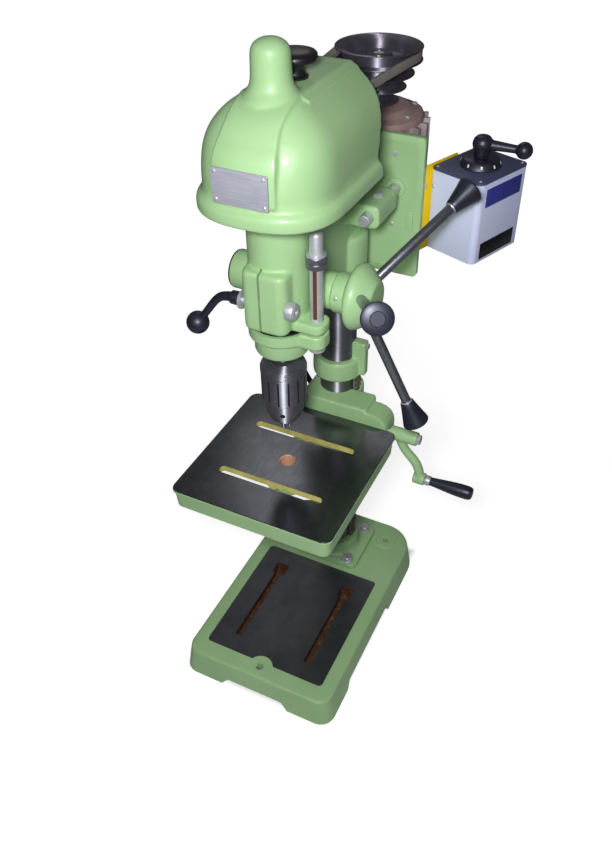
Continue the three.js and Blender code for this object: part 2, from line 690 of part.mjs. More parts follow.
function makeCrank() {
  const y = lift.wheelY;
  const z = wormZ();
  const pitch = (2 * Math.PI * lift.wheel) / lift.wheelTeeth;
  const profile = [[0, lift.wormLeft], [lift.wormRoot, lift.wormLeft]];
  for (let i = -1; i <= 1; i += 1) {
    const x = lift.x + i * pitch;
    const foot = (rack.rootShare * pitch) / 2;
    const crest = (rack.tipShare * pitch) / 2;
    profile.push([lift.wormRoot, x - foot], [lift.wormTip, x - crest]);
    profile.push([lift.wormTip, x + crest], [lift.wormRoot, x + foot]);
  }
  profile.push([lift.wormRoot, lift.wormRight], [crank.shaft, lift.wormRight]);
  profile.push([crank.shaft, crank.hubRight - 4], [0, crank.hubRight - 4]);
  steelPiece("crank_shaft", turnedX(profile, y, z, facets.medium));

  const hub = turnedX(
    [[0, crank.hubLeft], [crank.hub, crank.hubLeft], [crank.hub, crank.hubRight - 2],
      [crank.hub - 2, crank.hubRight], [0, crank.hubRight]],
    y,
    z,
    facets.medium,
  );
  const hubBore = discX(crank.shaft + fit.bore, y, z, crank.hubLeft - 1, crank.hubRight - 3.5, facets.medium);
  const gripZ = z - crank.drop;
  const path = new THREE.CatmullRomCurve3(crankBend.map(([x, drop]) => new THREE.Vector3(x, y, z - drop)));
  const section = new THREE.Shape(oval(crank.arm, crank.arm * 0.8, crank.armPoints));
  const arm = new THREE.ExtrudeGeometry(section, {
    steps: crank.armSteps,
    bevelEnabled: false,
    extrudePath: path,
  });
  const knuckle = discX(crank.knuckle, y, gripZ, crank.knuckleLeft, crank.knuckleRight, facets.medium);
  const pin = discX(crank.pin, y, gripZ, crank.knuckleRight - 2, crank.pinEnd, facets.small);
  painted("crank_arm", cut(join(hub, arm, knuckle, pin), hubBore));

  const start = crank.knuckleRight + fit.seat;
  const bore = crank.pin + fit.bore;
  const grip = turnedX(
    [[bore, start], [crank.ferrule, start], [crank.ferrule, start + crank.ferruleLength],
      [crank.gripNeck, start + crank.ferruleLength + 1], [crank.gripNeck + 1.4, start + 26],
      [crank.gripWide, crank.gripEnd - 14], [crank.gripWide - 0.5, crank.gripEnd - 4],
      [crank.gripWide - 4, crank.gripEnd], [0, crank.gripEnd], [0, crank.pinEnd + 1],
      [bore, crank.pinEnd + 1], [bore, start]],
    y,
    gripZ,
    facets.medium,
  );
  blackPiece("crank_grip", grip);
}

// The points of an oval.
function oval(halfU, halfV, count) {
  const points = [];
  for (let i = 0; i < count; i += 1) {
    const angle = (2 * Math.PI * i) / count;
    points.push(new THREE.Vector2(halfU * Math.cos(angle), halfV * Math.sin(angle)));
  }
  return points;
}

function makeClampLever() {
  const y = bracket.clampY;
  const z = bracket.clampZ;
  const stem = discX(clampLever.stem, y, z, clampLever.hubLeft + 2, clampLever.stemTip, facets.small);
  const hub = discX(clampLever.hub, y, z, clampLever.hubLeft, clampLever.hubRight, facets.medium);
  const end = [clampLever.endX, clampLever.endY, clampLever.endZ];
  const start = [(clampLever.hubLeft + clampLever.hubRight) / 2, y, z];
  const arm = rod(start, end, clampLever.rod, clampLever.rod, facets.small);
  steelPiece("table_clamp_lever", join(stem, hub, arm, ball(clampLever.ball, end, facets.small)));
}

function tableRing(inset, z) {
  const radius = table.corner - inset * 0.5;
  return roundedRing(
    [-table.half + inset, table.half - inset],
    [-reach - table.half + inset, -reach + table.half - inset],
    radius,
    radius,
    z,
  );
}

function makeTable() {
  const shell = loft([
    tableRing(table.draft, table.skirt),
    tableRing(table.overhang, table.top - table.rim),
    tableRing(0, table.top - table.rim + 0.6),
    tableRing(0, table.top - table.edge),
    tableRing(table.edge, table.top),
  ]);
  const hollow = loft([
    tableRing(table.wall + table.draft, table.skirt - fit.over),
    tableRing(table.wall + table.draft, table.top - table.plate),
  ]);
  const inside = [table.low, table.top - table.plate / 2];
  const boss = disc(table.boss, 0, -reach, ...inside, facets.large);
  const reachX = table.half - table.wall;
  const rib = block([-table.ribHalf, table.ribHalf], [-reach - reachX, -reach + reachX], inside);
  const cross = block([-reachX, reachX], [-reach - table.ribHalf, -reach + table.ribHalf], inside);
  const slotPlaces = [-1, 1].map((side) => -reach + side * table.slotReach);
  // the bracket's arm passes under the rear skirt here
  const notch = block([-table.notchHalf, table.notchHalf], [table.notchFront, 0], [0, table.low]);
  const openings = slotPlaces.map((y) => roundedBlock(
    [-table.slotHalf, table.slotHalf],
    [y - table.slotWide, y + table.slotWide],
    table.slotWide - 0.1,
    [table.skirt - fit.over, table.top + fit.over],
  ));
  const hole = disc(table.hole, 0, -reach, 0, table.top + fit.over, facets.large);
  const boltHole = disc(
    tableBolt.shank + fit.bore, tableBolt.x, tableBolt.y, 0, table.low + tableBolt.into + 1, facets.small,
  );
  const body = join(cut(shell, hollow, notch), boss, rib, cross);
  add("table", cut(body, ...openings, hole, boltHole), colour.iron, 0.35, 0.8);
  const underArm = bracket.armTipLow - fit.seat;
  const head6 = disc(tableBolt.head, tableBolt.x, tableBolt.y, underArm - tableBolt.headHeight, underArm, 6);
  const shank = disc(
    tableBolt.shank, tableBolt.x, tableBolt.y, underArm - 1, table.low + tableBolt.into, facets.small,
  );
  steelPiece("table_bolt", join(head6, shank));
}

function makeHead() {
  const plateHigh = head.plateHigh;
  const tubePart = disc(head.tube, 0, -reach, head.low, head.plateLow + 2, facets.column);
  const slope = head.plateSlope;
  const top = loft([
    hoodRing(head.plateHalf - slope, head.plateFront + slope, hood.rearLow, head.plateLow),
    hoodRing(head.plateHalf, head.plateFront, hood.rearLow, plateHigh),
  ]);
  const edge = head.columnEdge;
  const columnPart = turned(
    [[0, head.columnLow], [head.columnTube, head.columnLow], [head.columnTube, head.columnHigh - edge],
      [head.columnTube - edge, head.columnHigh], [0, head.columnHigh]],
    0,
    0,
    facets.column,
  );
  const web = block(
    [-head.webHalf, head.webHalf], [-reach, head.webRear], [head.webLow, plateHigh - fit.seat],
  );
  const webUnder = block(
    [-head.webHalf - 1, head.webHalf + 1],
    [-reach - 1, -reach + nose.collarOuter + head.webGap],
    [head.webLow - 1, head.low],
  );
  const clamp = roundedBlock(
    [-head.clampHalf, head.clampHalf],
    [head.clampFront, -reach],
    head.clampCorner,
    [head.clampLow, head.clampHigh],
  );
  const feedPart = discX(head.feedBoss, feed.y, feed.z, head.feedLeft, head.feedRight, facets.large);
  const barBosses = [-1, 1].map((side) => discY(
    head.barBoss, side * bar.x, bar.z, head.barBossFront, head.barBossRear, facets.large,
  ));
  const arms = block(
    [-bar.x, bar.x],
    [head.barBossFront, head.barBossRear],
    [bar.z - head.barBoss, bar.z + head.barBoss],
  );
  const tie = block(
    [-bar.x, bar.x],
    [head.tieFront, head.tieRear],
    [bar.z - head.tieHalf, bar.z + head.tieHalf],
  );
  const lug = lugShape(head.lugLow, head.lugHigh);
  const quillBore = disc(quill.radius + fit.bore, 0, -reach, 0, plateHigh + fit.over, facets.column);
  const columnBore = disc(column.radius + fit.bore, 0, 0, 0, column.top + fit.over, facets.column);
  const rackRoom = block(
    [-quill.channelHalf, quill.channelHalf],
    [-reach, quill.channelRear],
    [head.webLow - fit.over, upperBearing.low - 2],
  );
  const pinionRoom = discX(
    feed.pinion + lift.tooth + 1.4, feed.y, feed.z, -feed.pinionHalf - 1, feed.pinionHalf + 1, facets.column,
  );
  const feedBore = discX(
    feed.shaft + fit.bore, feed.y, feed.z, head.feedLeft - 1, head.feedRight + 1, facets.medium,
  );
  const slit = block(
    [head.slitLeft, head.slitRight],
    [head.clampFront - 1, -reach],
    [head.low - 1, head.clampHigh + 2],
  );
  const lockBore = discX(
    head.clampHole, head.clampAxisY, head.clampAxisZ, -head.clampHalf - 1, head.clampHalf + 1, facets.medium,
  );
  const barBores = [-1, 1].map((side) => discY(
    bar.radius + fit.bore, side * bar.x, bar.z, head.barBossFront - 1, head.barBossRear + 1, facets.medium,
  ));
  const rodBore = disc(depth.rod + fit.bore, head.lugX, head.lugY, 0, head.lugHigh + 1, facets.medium);
  painted("head_casting", cut(
    join(cut(join(tubePart, columnPart, web), webUnder), top, clamp, feedPart, ...barBosses, arms, tie, lug),
    quillBore,
    columnBore,
    rackRoom,
    pinionRoom,
    feedBore,
    slit,
    lockBore,
    ...barBores,
    rodBore,
  ));
}

// A flat ear beside the quill that the depth rod passes through.
function lugShape(low, high) {
  return roundedBlock(
    [0, head.lugEnd],
    [head.lugY - head.lugFront, head.lugY + head.lugRear],
    head.lugRound,
    [low, high],
  );
}

function makeQuill() {
  const body = tube(quill.radius, quill.bore, 0, -reach, quill.low, quill.high, facets.column);
  const outline = rackOutline(
    quill.rackInner, quill.rackRoot, quill.rackTip, quill.rackLow, quill.rackHigh, feed.z,
  );
  const teeth = prismX(outline, -quill.rackHalf, quill.rackHalf);
  const flat = block(
    [-quill.flatHalf, quill.flatHalf],
    [quill.rackRoot, -reach + quill.radius + fit.over],
    [quill.rackLow, quill.rackHigh],
  );
  steelPiece("quill", join(cut(body, flat), teeth));

  const ring = disc(nose.collarOuter, 0, -reach, nose.collarLow, nose.collarHigh, facets.column);
  const bore = disc(quill.radius + fit.bore, 0, -reach, 0, far, facets.column);
  const rodBore = disc(depth.rod + fit.bore, head.lugX, head.lugY, 0, far, facets.medium);
  const lug = lugShape(nose.collarLow, nose.collarHigh);
  const rackGap = block(
    [-quill.channelHalf, quill.channelHalf],
    [-reach, quill.channelRear],
    [nose.collarLow - 1, nose.collarHigh + 1],
  );
  painted("quill_collar", cut(join(ring, lug), bore, rodBore, rackGap));

  const seatTop = quill.low - fit.seat;
  painted("quill_end_ring", turned(
    [[nose.ringBore, nose.ringLow], [nose.ringOuter - 4, nose.ringLow], [nose.ringOuter, nose.ringLow + 4],
      [nose.ringOuter, seatTop], [nose.bearingOuter + fit.bore, seatTop],
      [nose.bearingOuter + fit.bore, nose.ringShelf], [nose.ringBore, nose.ringShelf],
      [nose.ringBore, nose.ringLow]],
    0,
    -reach,
    facets.column,
  ));
  steelPiece("lower_bearing", tube(
    nose.bearingOuter, spindle.radius + fit.bore, 0, -reach, nose.bearingLow, nose.bearingHigh, facets.large,
  ));
  steelPiece("upper_bearing", tube(
    quill.radius, upperBearing.inner, 0, -reach, upperBearing.low, upperBearing.high, facets.large,
  ));
}

function makeSpindle() {
  steelPiece("spindle", turned(
    [[0, spindle.taperLow], [spindle.taper, spindle.taperLow], [spindle.taper, spindle.shoulderLow - 0.2],
      [spindle.shoulder, spindle.shoulderLow], [spindle.shoulder, spindle.shoulderHigh],
      [spindle.radius, spindle.shoulderHigh + 1], [spindle.radius, spindle.top - 2],
      [spindle.radius - 2, spindle.top], [0, spindle.top]],
    0,
    -reach,
    facets.large,
  ));
}

function jawAxis(i, grow) {
  const angle = (2 * Math.PI * i) / chuck.jaws + Math.PI / 6;
  const lean = Math.tan(THREE.MathUtils.degToRad(chuck.jawLean));
  const at = (z) => {
    const radius = chuck.jawTipRadius + (z - chuck.jawLow) * lean;
    return [radius * Math.cos(angle), -reach + radius * Math.sin(angle), z];
  };
  return [at(chuck.jawLow), at(chuck.jawLow + grow)];
}

function makeChuck() {
  const body = turned(
    [[0, chuck.noseLow], ...chuckNose, [chuck.noseWide, chuck.sleeveLow - 0.5],
      [chuck.core, chuck.sleeveLow - 0.5], [chuck.core, chuck.ringLow], [chuck.ring, chuck.ringLow],
      [chuck.ring, chuck.flangeLow], [chuck.flange, chuck.flangeLow + 1], [chuck.flange, chuck.flangeHigh],
      [chuck.crown, chuck.top], [0, chuck.top]],
    0,
    -reach,
    facets.column,
  );
  const socketHigh = chuck.top + fit.over;
  const socket = disc(spindle.taper + fit.bore, 0, -reach, chuck.socketLow, socketHigh, facets.large);
  const mouth = disc(chuck.mouth, 0, -reach, chuck.noseLow - 1, chuck.noseLow + 8, facets.medium);
  const keyHoles = [];
  const jawRooms = [];
  for (let i = 0; i < chuck.jaws; i += 1) {
    const [from, to] = jawAxis(i, chuck.jawRoom);
    jawRooms.push(rod(from, to, chuck.jaw + fit.bore, chuck.jaw + fit.bore, facets.small));
    const angle = (2 * Math.PI * i) / chuck.jaws - Math.PI / 2 + 0.35;
    const out = [Math.cos(angle), Math.sin(angle)];
    const inner = [chuck.keyIn * out[0], -reach + chuck.keyIn * out[1], chuck.keyZ];
    const outer = [40 * out[0], -reach + 40 * out[1], chuck.keyZ];
    keyHoles.push(rod(inner, outer, chuck.keyHole, chuck.keyHole, facets.small));
  }
  steelPiece("chuck_body", cut(body, socket, mouth, ...jawRooms, ...keyHoles));
  for (let i = 0; i < chuck.jaws; i += 1) {
    const [from, to] = jawAxis(i, chuck.jawLength);
    const mid = jawAxis(i, chuck.jawPoint)[1];
    const lower = rod(from, mid, chuck.jawPointTip, chuck.jaw, facets.small);
    const upper = rod(jawAxis(i, chuck.jawPoint - 0.1)[1], to, chuck.jaw, chuck.jaw, facets.small);
    steelPiece("chuck_jaw_" + (i + 1), join(lower, upper));
  }
  const outline = [];
  for (let i = 0; i < chuck.flutes * 2; i += 1) {
    const middle = (Math.PI * i) / chuck.flutes;
    const half = (Math.PI / chuck.flutes) * 0.32;
    const radius = i % 2 ? chuck.sleeve - chuck.flute : chuck.sleeve;
    for (const angle of [middle - half, middle + half]) {
      outline.push([radius * Math.cos(angle), radius * Math.sin(angle)]);
    }
  }
  const grip = prism(outline, chuck.sleeveLow, chuck.ringLow - fit.seat).translate(0, -reach, 0);
  const core = chuck.core + fit.bore;
  const inside = disc(core, 0, -reach, chuck.sleeveLow - 1, chuck.ringLow + 1, facets.column);
  steelPiece("chuck_sleeve", cut(grip, inside));
}

function makeDepthStop() {
  const x = head.lugX;
  const y = head.lugY;
  steelPiece("depth_rod", turned(
    [[0, depth.low], [depth.foot - 1.5, depth.low], [depth.foot, depth.low + 1.5],
      [depth.foot, depth.footHigh], [depth.rod, depth.footHigh], [depth.rod, depth.high], [depth.cap, depth.high + 1],
      [depth.cap, depth.capHigh - 2], [depth.cap - 2, depth.capHigh], [0, depth.capHigh]],
    x,
    y,
    facets.medium,
  ));
  const low = depth.nutLow;
  const high = low + depth.nutHeight + depth.nutGap;
  const nut = (z) => tube(depth.nut, depth.rod + fit.bore, x, y, z, z + depth.nutHeight, depth.nutFlats);
  add("depth_nut_lower", nut(low), colour.darkSteel, 0.4, 1);
  add("depth_nut_upper", nut(high), colour.darkSteel, 0.4, 1);
}

function makeQuillLock() {
  const y = head.clampAxisY;
  const z = head.clampAxisZ;
  steelPiece("quill_lock_screw", turnedX(
    [[0, lock.end], [lock.screw, lock.end], [lock.screw, lock.headLeft], [lock.head, lock.headLeft],
      [lock.head, lock.headRight - 3], [lock.head - 4, lock.headRight], [0, lock.headRight]],
    y,
    z,
    facets.medium,
  ));
  const hub = turnedX(
    [[0, lock.hubLeft - 1], [lock.hub - 2, lock.hubLeft - 1], [lock.hub - 2, lock.hubRight - 3],
      [lock.hub + 2, lock.hubRight - 3], [lock.hub + 2, lock.hubRight], [0, lock.hubRight]],
    y,
    z,
    facets.medium,
  );
  const bend = [lock.bendX, y, lock.bendZ];
  const end = [lock.endX, lock.endY, lock.endZ];
  const first = rod([(lock.hubLeft + lock.hubRight) / 2, y, z], bend, lock.rod + 1, lock.rod, facets.small);
  const second = rod(bend, end, lock.rod, lock.rod - 0.5, facets.small);
  const elbow = ball(lock.rod, bend, facets.small);
  const bore = discX(lock.screw + fit.bore, y, z, lock.end - 1, lock.hubRight + 1, facets.medium);
  const lever = join(hub, first, elbow, second, ball(lock.ball, end, facets.ball));
  blackPiece("quill_lock_lever", cut(lever, bore));
}

function armPoint(i, share) {
  const angle = THREE.MathUtils.degToRad(feed.firstAngle + (360 * i) / feed.arms);
  const radius = feed.armRootRadius + (feed.armTipRadius - feed.armRootRadius) * share;
  const x = feed.armRootX + (feed.armTipX - feed.armRootX) * share;
  return [x, feed.y + radius * Math.cos(angle), feed.z + radius * Math.sin(angle)];
}

function makeFeed() {
  const armLength = Math.hypot(feed.armTipX - feed.armRootX, feed.armTipRadius - feed.armRootRadius);
  const knobShare = 1 - feed.knobLength / armLength;
  const armEndShare = knobShare + (feed.knobBore - 1) / armLength;
  const boreEndShare = knobShare + feed.knobBore / armLength;
  const face = feedBell[feedBell.length - 1][1];
  const profile = [
    [0, feed.hubLeft], [feed.hub - 2, feed.hubLeft], [feed.hub, feed.hubLeft + 2], ...feedBell, [0, face],
  ];
  const hub = turnedX(profile, feed.y, feed.z, facets.large);
  const bore = discX(
    feed.shaft + fit.bore, feed.y, feed.z, feed.hubLeft - 1, feed.shaftRight + fit.seat, facets.medium,
  );
  const armRooms = [];
  for (let i = 0; i < feed.arms; i += 1) {
    const from = armPoint(i, 0.055);
    armRooms.push(rod(from, armPoint(i, 0.3), feed.arm + fit.bore, feed.arm + fit.bore, facets.small));
  }
  painted("feed_hub", cut(hub, bore, ...armRooms));
  for (let i = 0; i < feed.arms; i += 1) {
    const start = armPoint(i, 0.058);
    const arm = rod(start, armPoint(i, armEndShare), feed.arm, feed.arm, facets.small);
    add("feed_arm_" + (i + 1), arm, colour.darkSteel, 0.35, 1);
    const neck = armPoint(i, knobShare);
    const wide = armPoint(i, 1 - feed.knobDome / armLength);
    const cone = rod(neck, wide, feed.knobNeck, feed.knobWide, facets.medium);
    const dome = rod(wide, armPoint(i, 1), feed.knobWide, feed.knobWide * 0.66, facets.medium);
    const room = rod(armPoint(i, knobShare - 0.02), armPoint(i, boreEndShare), feed.arm + fit.bore,
      feed.arm + fit.bore, facets.small);
    blackPiece("feed_knob_" + (i + 1), cut(join(cone, dome), room));
  }
  const pinion = prismX(
    gearOutline(feed.pinion, feed.pinionTeeth, lift.tooth, Math.PI),
    -feed.pinionHalf,
    feed.pinionHalf,
  ).translate(0, feed.y, feed.z);
  const shaft = discX(feed.shaft, feed.y, feed.z, feed.shaftLeft, feed.shaftRight, facets.medium);
  steelPiece("pinion_shaft", join(pinion, shaft));
}

function makeSpring() {
  const steps = spring.turns * facets.medium;
  const outer = [];
  const inner = [];
  for (let i = 0; i <= steps; i += 1) {
    const share = i / steps;
    const angle = 2 * Math.PI * spring.turns * share;
    const radius = spring.inner + (spring.outer - spring.inner) * share;
    outer.push([(radius + spring.thick) * Math.cos(angle), (radius + spring.thick) * Math.sin(angle)]);
    inner.push([radius * Math.cos(angle), radius * Math.sin(angle)]);
  }
  const outline = outer.concat(inner.reverse());
  const coil = prismX(outline, spring.left, spring.right).translate(0, feed.y, feed.z);
  steelPiece("return_spring", coil);
  const floor = spring.capLeft + spring.capFloor;
  blackPiece("spring_cap", turnedX(
    [[0, spring.capLeft], [spring.capOuter - 3, spring.capLeft], [spring.capOuter, spring.capLeft + 3],
      [spring.capOuter, spring.capRight], [spring.capInner, spring.capRight], [spring.capInner, floor],
      [spring.boss, floor], [spring.boss, floor - 1], [0, floor - 1]],
    feed.y,
    feed.z,
    facets.large,
  ));
}

// Grooves of a step pulley: [radius, z] from its bottom to its top, the radii given from the bottom up.
function pulleySteps(radii) {
  const low = pulley.top - pulley.step * pulley.steps;
  return radii.flatMap((radius, i) => {
    const z = low + i * pulley.step;
    const top = z + pulley.step;
    const bottom = radius - pulley.groove;
    return [[radius, z], [bottom, z + pulley.shoulder], [bottom, top - pulley.shoulder], [radius, top]];
  });
}

function stepRadii() {
  const radii = [];
  for (let i = 0; i < pulley.steps; i += 1) radii.push(pulley.largest - i * pulley.drop);
  return radii;
}

function makePulleys() {
  const low = pulley.top - pulley.step * pulley.steps;
  const bore = spindle.radius + fit.bore;
  const spindleProfile = [
    [bore, pulley.hubLow], [pulley.hub, pulley.hubLow], [pulley.hub, low], ...pulleySteps(stepRadii()),
    [bore, pulley.top], [bore, pulley.hubLow],
  ];
  add("spindle_pulley", turned(spindleProfile, 0, -reach, facets.large), colour.darkSteel, 0.35, 1);
  const hole = pulley.motorBore;
  const floor = pulley.top - pulley.dishDepth;
  const motorProfile = [
    [hole, low], ...pulleySteps(stepRadii().reverse()), [pulley.dish, pulley.top],
    [pulley.dishWall, pulley.top - pulley.dishEdge], [pulley.dishFloor, floor], [pulley.hub + 3, floor],
    [pulley.hub, pulley.top - pulley.motorHubDrop], [hole, pulley.top - pulley.motorHubDrop], [hole, low],
  ];
  add("motor_pulley", turned(motorProfile, 0, motor.y, facets.large), colour.darkSteel, 0.35, 1);
}

// The outline of a belt run round both pulleys at the given radii, as a closed list of points.
function beltLoop(spindleRadius, motorRadius) {
  const lean = Math.asin((motorRadius - spindleRadius) / (motor.y + reach));
  const points = [];
  const arc = (cy, radius, from, to) => {
    for (let i = 0; i <= facets.medium; i += 1) {
      const angle = from + ((to - from) * i) / facets.medium;
      points.push(new THREE.Vector2(radius * Math.cos(angle), cy + radius * Math.sin(angle)));
    }
  };
  arc(motor.y, motorRadius, -lean, Math.PI + lean);
  arc(-reach, spindleRadius, Math.PI + lean, 2 * Math.PI - lean);
  return points;
}

function makeBelt() {
  const radii = stepRadii();
  const large = radii[0] - belt.recess;
  const small = radii[radii.length - 1] - belt.recess;
  const shape = new THREE.Shape(beltLoop(small, large));
  shape.holes.push(new THREE.Path(beltLoop(small - belt.thick, large - belt.thick)));
  const geometry = new THREE.ExtrudeGeometry(shape, { depth: belt.height, bevelEnabled: false });
  geometry.translate(0, 0, pulley.top - pulley.step / 2 - belt.height / 2);
  add("drive_belt", geometry, colour.belt, 0.8, 0);
}

function makeMotor() {
  const outline = [];
  for (let i = 0; i < motor.fins * 2; i += 1) {
    const middle = (Math.PI * i) / motor.fins;
    const half = (Math.PI / motor.fins) * 0.4;
    const radius = i % 2 ? motor.radius - motor.fin : motor.radius;
    for (const angle of [middle - half, middle + half]) {
      outline.push([radius * Math.cos(angle), radius * Math.sin(angle)]);
    }
  }
  const body = prism(outline, motor.low, motor.high).translate(0, motor.y, 0);
  const bell = turned(
    [[0, motor.high - 1], [motor.radius - 1, motor.high - 1], [motor.radius - 3, motor.high + 6],
      [motor.bellTop + 12, motor.bellHigh - 3], [motor.bellTop, motor.bellHigh], [0, motor.bellHigh]],
    0,
    motor.y,
    facets.large,
  );
  const bottom = turned(
    [[0, motor.bellLow], [motor.bellBottom, motor.bellLow], [motor.radius - 4, motor.bellLow + 6],
      [motor.radius - 2, motor.low + 1], [0, motor.low + 1]],
    0,
    motor.y,
    facets.large,
  );
  const keep = block([-far, far], [motor.flat, far], [0, far]);
  const hole = disc(
    motor.shaft + fit.bore, 0, motor.y, motor.shaftLow - 1, motor.bellHigh + motor.shaftHole, facets.medium,
  );
  add("motor_casing", cut(common(join(body, bell, bottom), keep), hole), colour.motor, 0.6, 0.3);
  steelPiece("motor_shaft", turned(
    [[0, motor.shaftLow], [motor.shaft, motor.shaftLow], [motor.shaft, motor.shaftTop - 1],
      [motor.shaft - 1, motor.shaftTop], [0, motor.shaftTop]],
    0,
    motor.y,
    facets.medium,
  ));
}

function makeMotorPlate() {
  const outline = (x, z0, z1, radius) => roundedRing([-x, x], [z0, z1], radius, radius, 0);
  const upright = (x, z0, z1, radius, y0, y1) => {
    const ring = outline(x, z0, z1, radius);
    const at = (y) => ring.map(([u, v]) => [u, y, v]);
    return loft([at(y0), at(y1)]);
  };
  const slab = upright(plate.half, plate.low, plate.high, plate.corner, plate.front, plate.rear);
  const sink = upright(
    plate.half - plate.rim,
    plate.low + plate.rim,
    plate.high - plate.rim,
    plate.corner,
    plate.front - 1,
    plate.front + plate.sink,
  );
  const barSeats = [-1, 1].map((side) => discY(
    bar.radius + 6, side * bar.x, bar.z, plate.front, plate.rear - 1, facets.medium,
  ));
  const pad = block(
    [plate.half - plate.rim - 12, plate.half - plate.rim - 2],
    [plate.front + 0.5, plate.rear - 1],
    [plate.padLow - 30, plate.padHigh - 34],
  );
  painted("motor_plate", join(cut(slab, sink), ...barSeats, pad));
  [-1, 1].forEach((side, i) => {
    steelPiece("motor_bar_" + (i + 1), discY(
      bar.radius, side * bar.x, bar.z, bar.front, plate.front - fit.seat, facets.medium,
    ));
  });
}

// A slice through the hood: straight sides from the open rear, then a rounded front.
function hoodRing(half, front, rear, z) {
  const points = [[half, rear, z]];
  const depthOf = hood.centreY - front;
  for (let i = 0; i <= hood.arcPoints; i += 1) {
    const angle = (Math.PI * i) / hood.arcPoints;
    const c = Math.cos(angle);
    const s = Math.sin(angle);
    points.push([
      half * Math.sign(c) * Math.abs(c) ** (2 / hood.roundPower),
      hood.centreY - depthOf * Math.abs(s) ** (2 / hood.roundPower),
      z,
    ]);
  }
  points.push([-half, rear, z]);
  return points.reverse();
}

function hoodRear(z) {
  const lowZ = hoodSlices[0][0];
  const highZ = hoodSlices[hoodSlices.length - 1][0];
  const share = Math.max(0, (z - lowZ) / (highZ - lowZ));
  return hood.rearLow + (hood.rearHigh - hood.rearLow) * share;
}

function makeHood() {
  const skin = hoodSlices.map(([z, half, front]) => hoodRing(half, front, hoodRear(z), z));
  const [lowZ, lowHalf, lowFront] = hoodSlices[0];
  const lipRings = hoodLip.map(([below, out]) => hoodRing(
    lowHalf + out, lowFront - out, hood.rearLow, lowZ - below,
  ));
  const shell = loft([...lipRings, ...skin]);
  const raised = loft(hoodSlices.map(([z, half, front]) => hoodRing(
    half + hood.bandRise, front - hood.bandRise, hoodRear(z), z + hood.bandRise,
  )));
  const band = common(raised, block([-hood.band, hood.band], [-far, 0], [lowZ, far]));
  const pad = block(
    [-hood.padHalf, hood.padHalf], [hood.padFront, lowFront + hood.padDeep], [hood.padLow, hood.padHigh],
  );
  const chimney = turned(
    [[0, hood.chimneyLow], ...chimneySteps.map(([radius, rise]) => [radius, spindle.top + rise])],
    0,
    -reach,
    facets.large,
  );
  const wall = hood.wall;
  const inner = hoodSlices.map(([z, half, front]) => {
    const level = Math.min(z, hood.cavityTop);
    return hoodRing(half - wall, front + wall, hood.openRear, level);
  });
  const cavitySlices = inner.filter((ring) => ring[0][2] < hood.cavityTop);
  const [topZ, topHalf, topFront] = hoodSlices[hoodSlices.length - 2];
  const roof = hoodRing(topHalf - wall, topFront + wall, hood.openRear, Math.min(topZ, hood.cavityTop));
  const floorRing = hoodRing(lowHalf - wall, lowFront + wall, hood.openRear, hood.mouthHigh);
  const cavity = loft([floorRing, ...cavitySlices, roof]);
  const mouth = loft([hood.lipLow - fit.over, hood.mouthHigh + fit.over].map((z) => hoodRing(
    hood.mouthHalf, hood.mouthFront, hood.openRear, z,
  )));
  const bore = disc(hood.chimneyBore, 0, -reach, hood.cavityTop - 5, hood.boreHigh, facets.large);
  painted("hood", cut(join(shell, band, pad, chimney), cavity, mouth, bore));
  const face = hood.padFront - fit.seat;
  add("blank_plate", block([-badge.half, badge.half], [face - badge.thick, face], [badge.low, badge.high]),
    colour.plate, 0.35, 0.9);
}

function makeCoverKnob() {
  const z = knob.base + fit.seat;
  const high = z + knob.bossHeight + knob.neckHigh;
  blackPiece("cover_knob", turned(
    [[0, z], [knob.boss, z], [knob.boss, z + knob.bossHeight], [knob.neck, z + knob.bossHeight + 1],
      [knob.neck, high - 2], [knob.disc - 1, high], [knob.disc, high + 1], [knob.disc, high + knob.rim - 1],
      [knob.disc - 2, high + knob.rim], [knob.disc * 0.5, high + knob.rim + knob.crown * 0.8],
      [0, high + knob.rim + knob.crown]],
    0,
    knob.y,
    facets.large,
  ));
}

// Moves a solid drawn beside the origin to the switch box's turned corner.
function placeAtBox(geometry) {
  return geometry.rotateZ(THREE.MathUtils.degToRad(box.turn)).translate(box.x, box.y, 0);
}

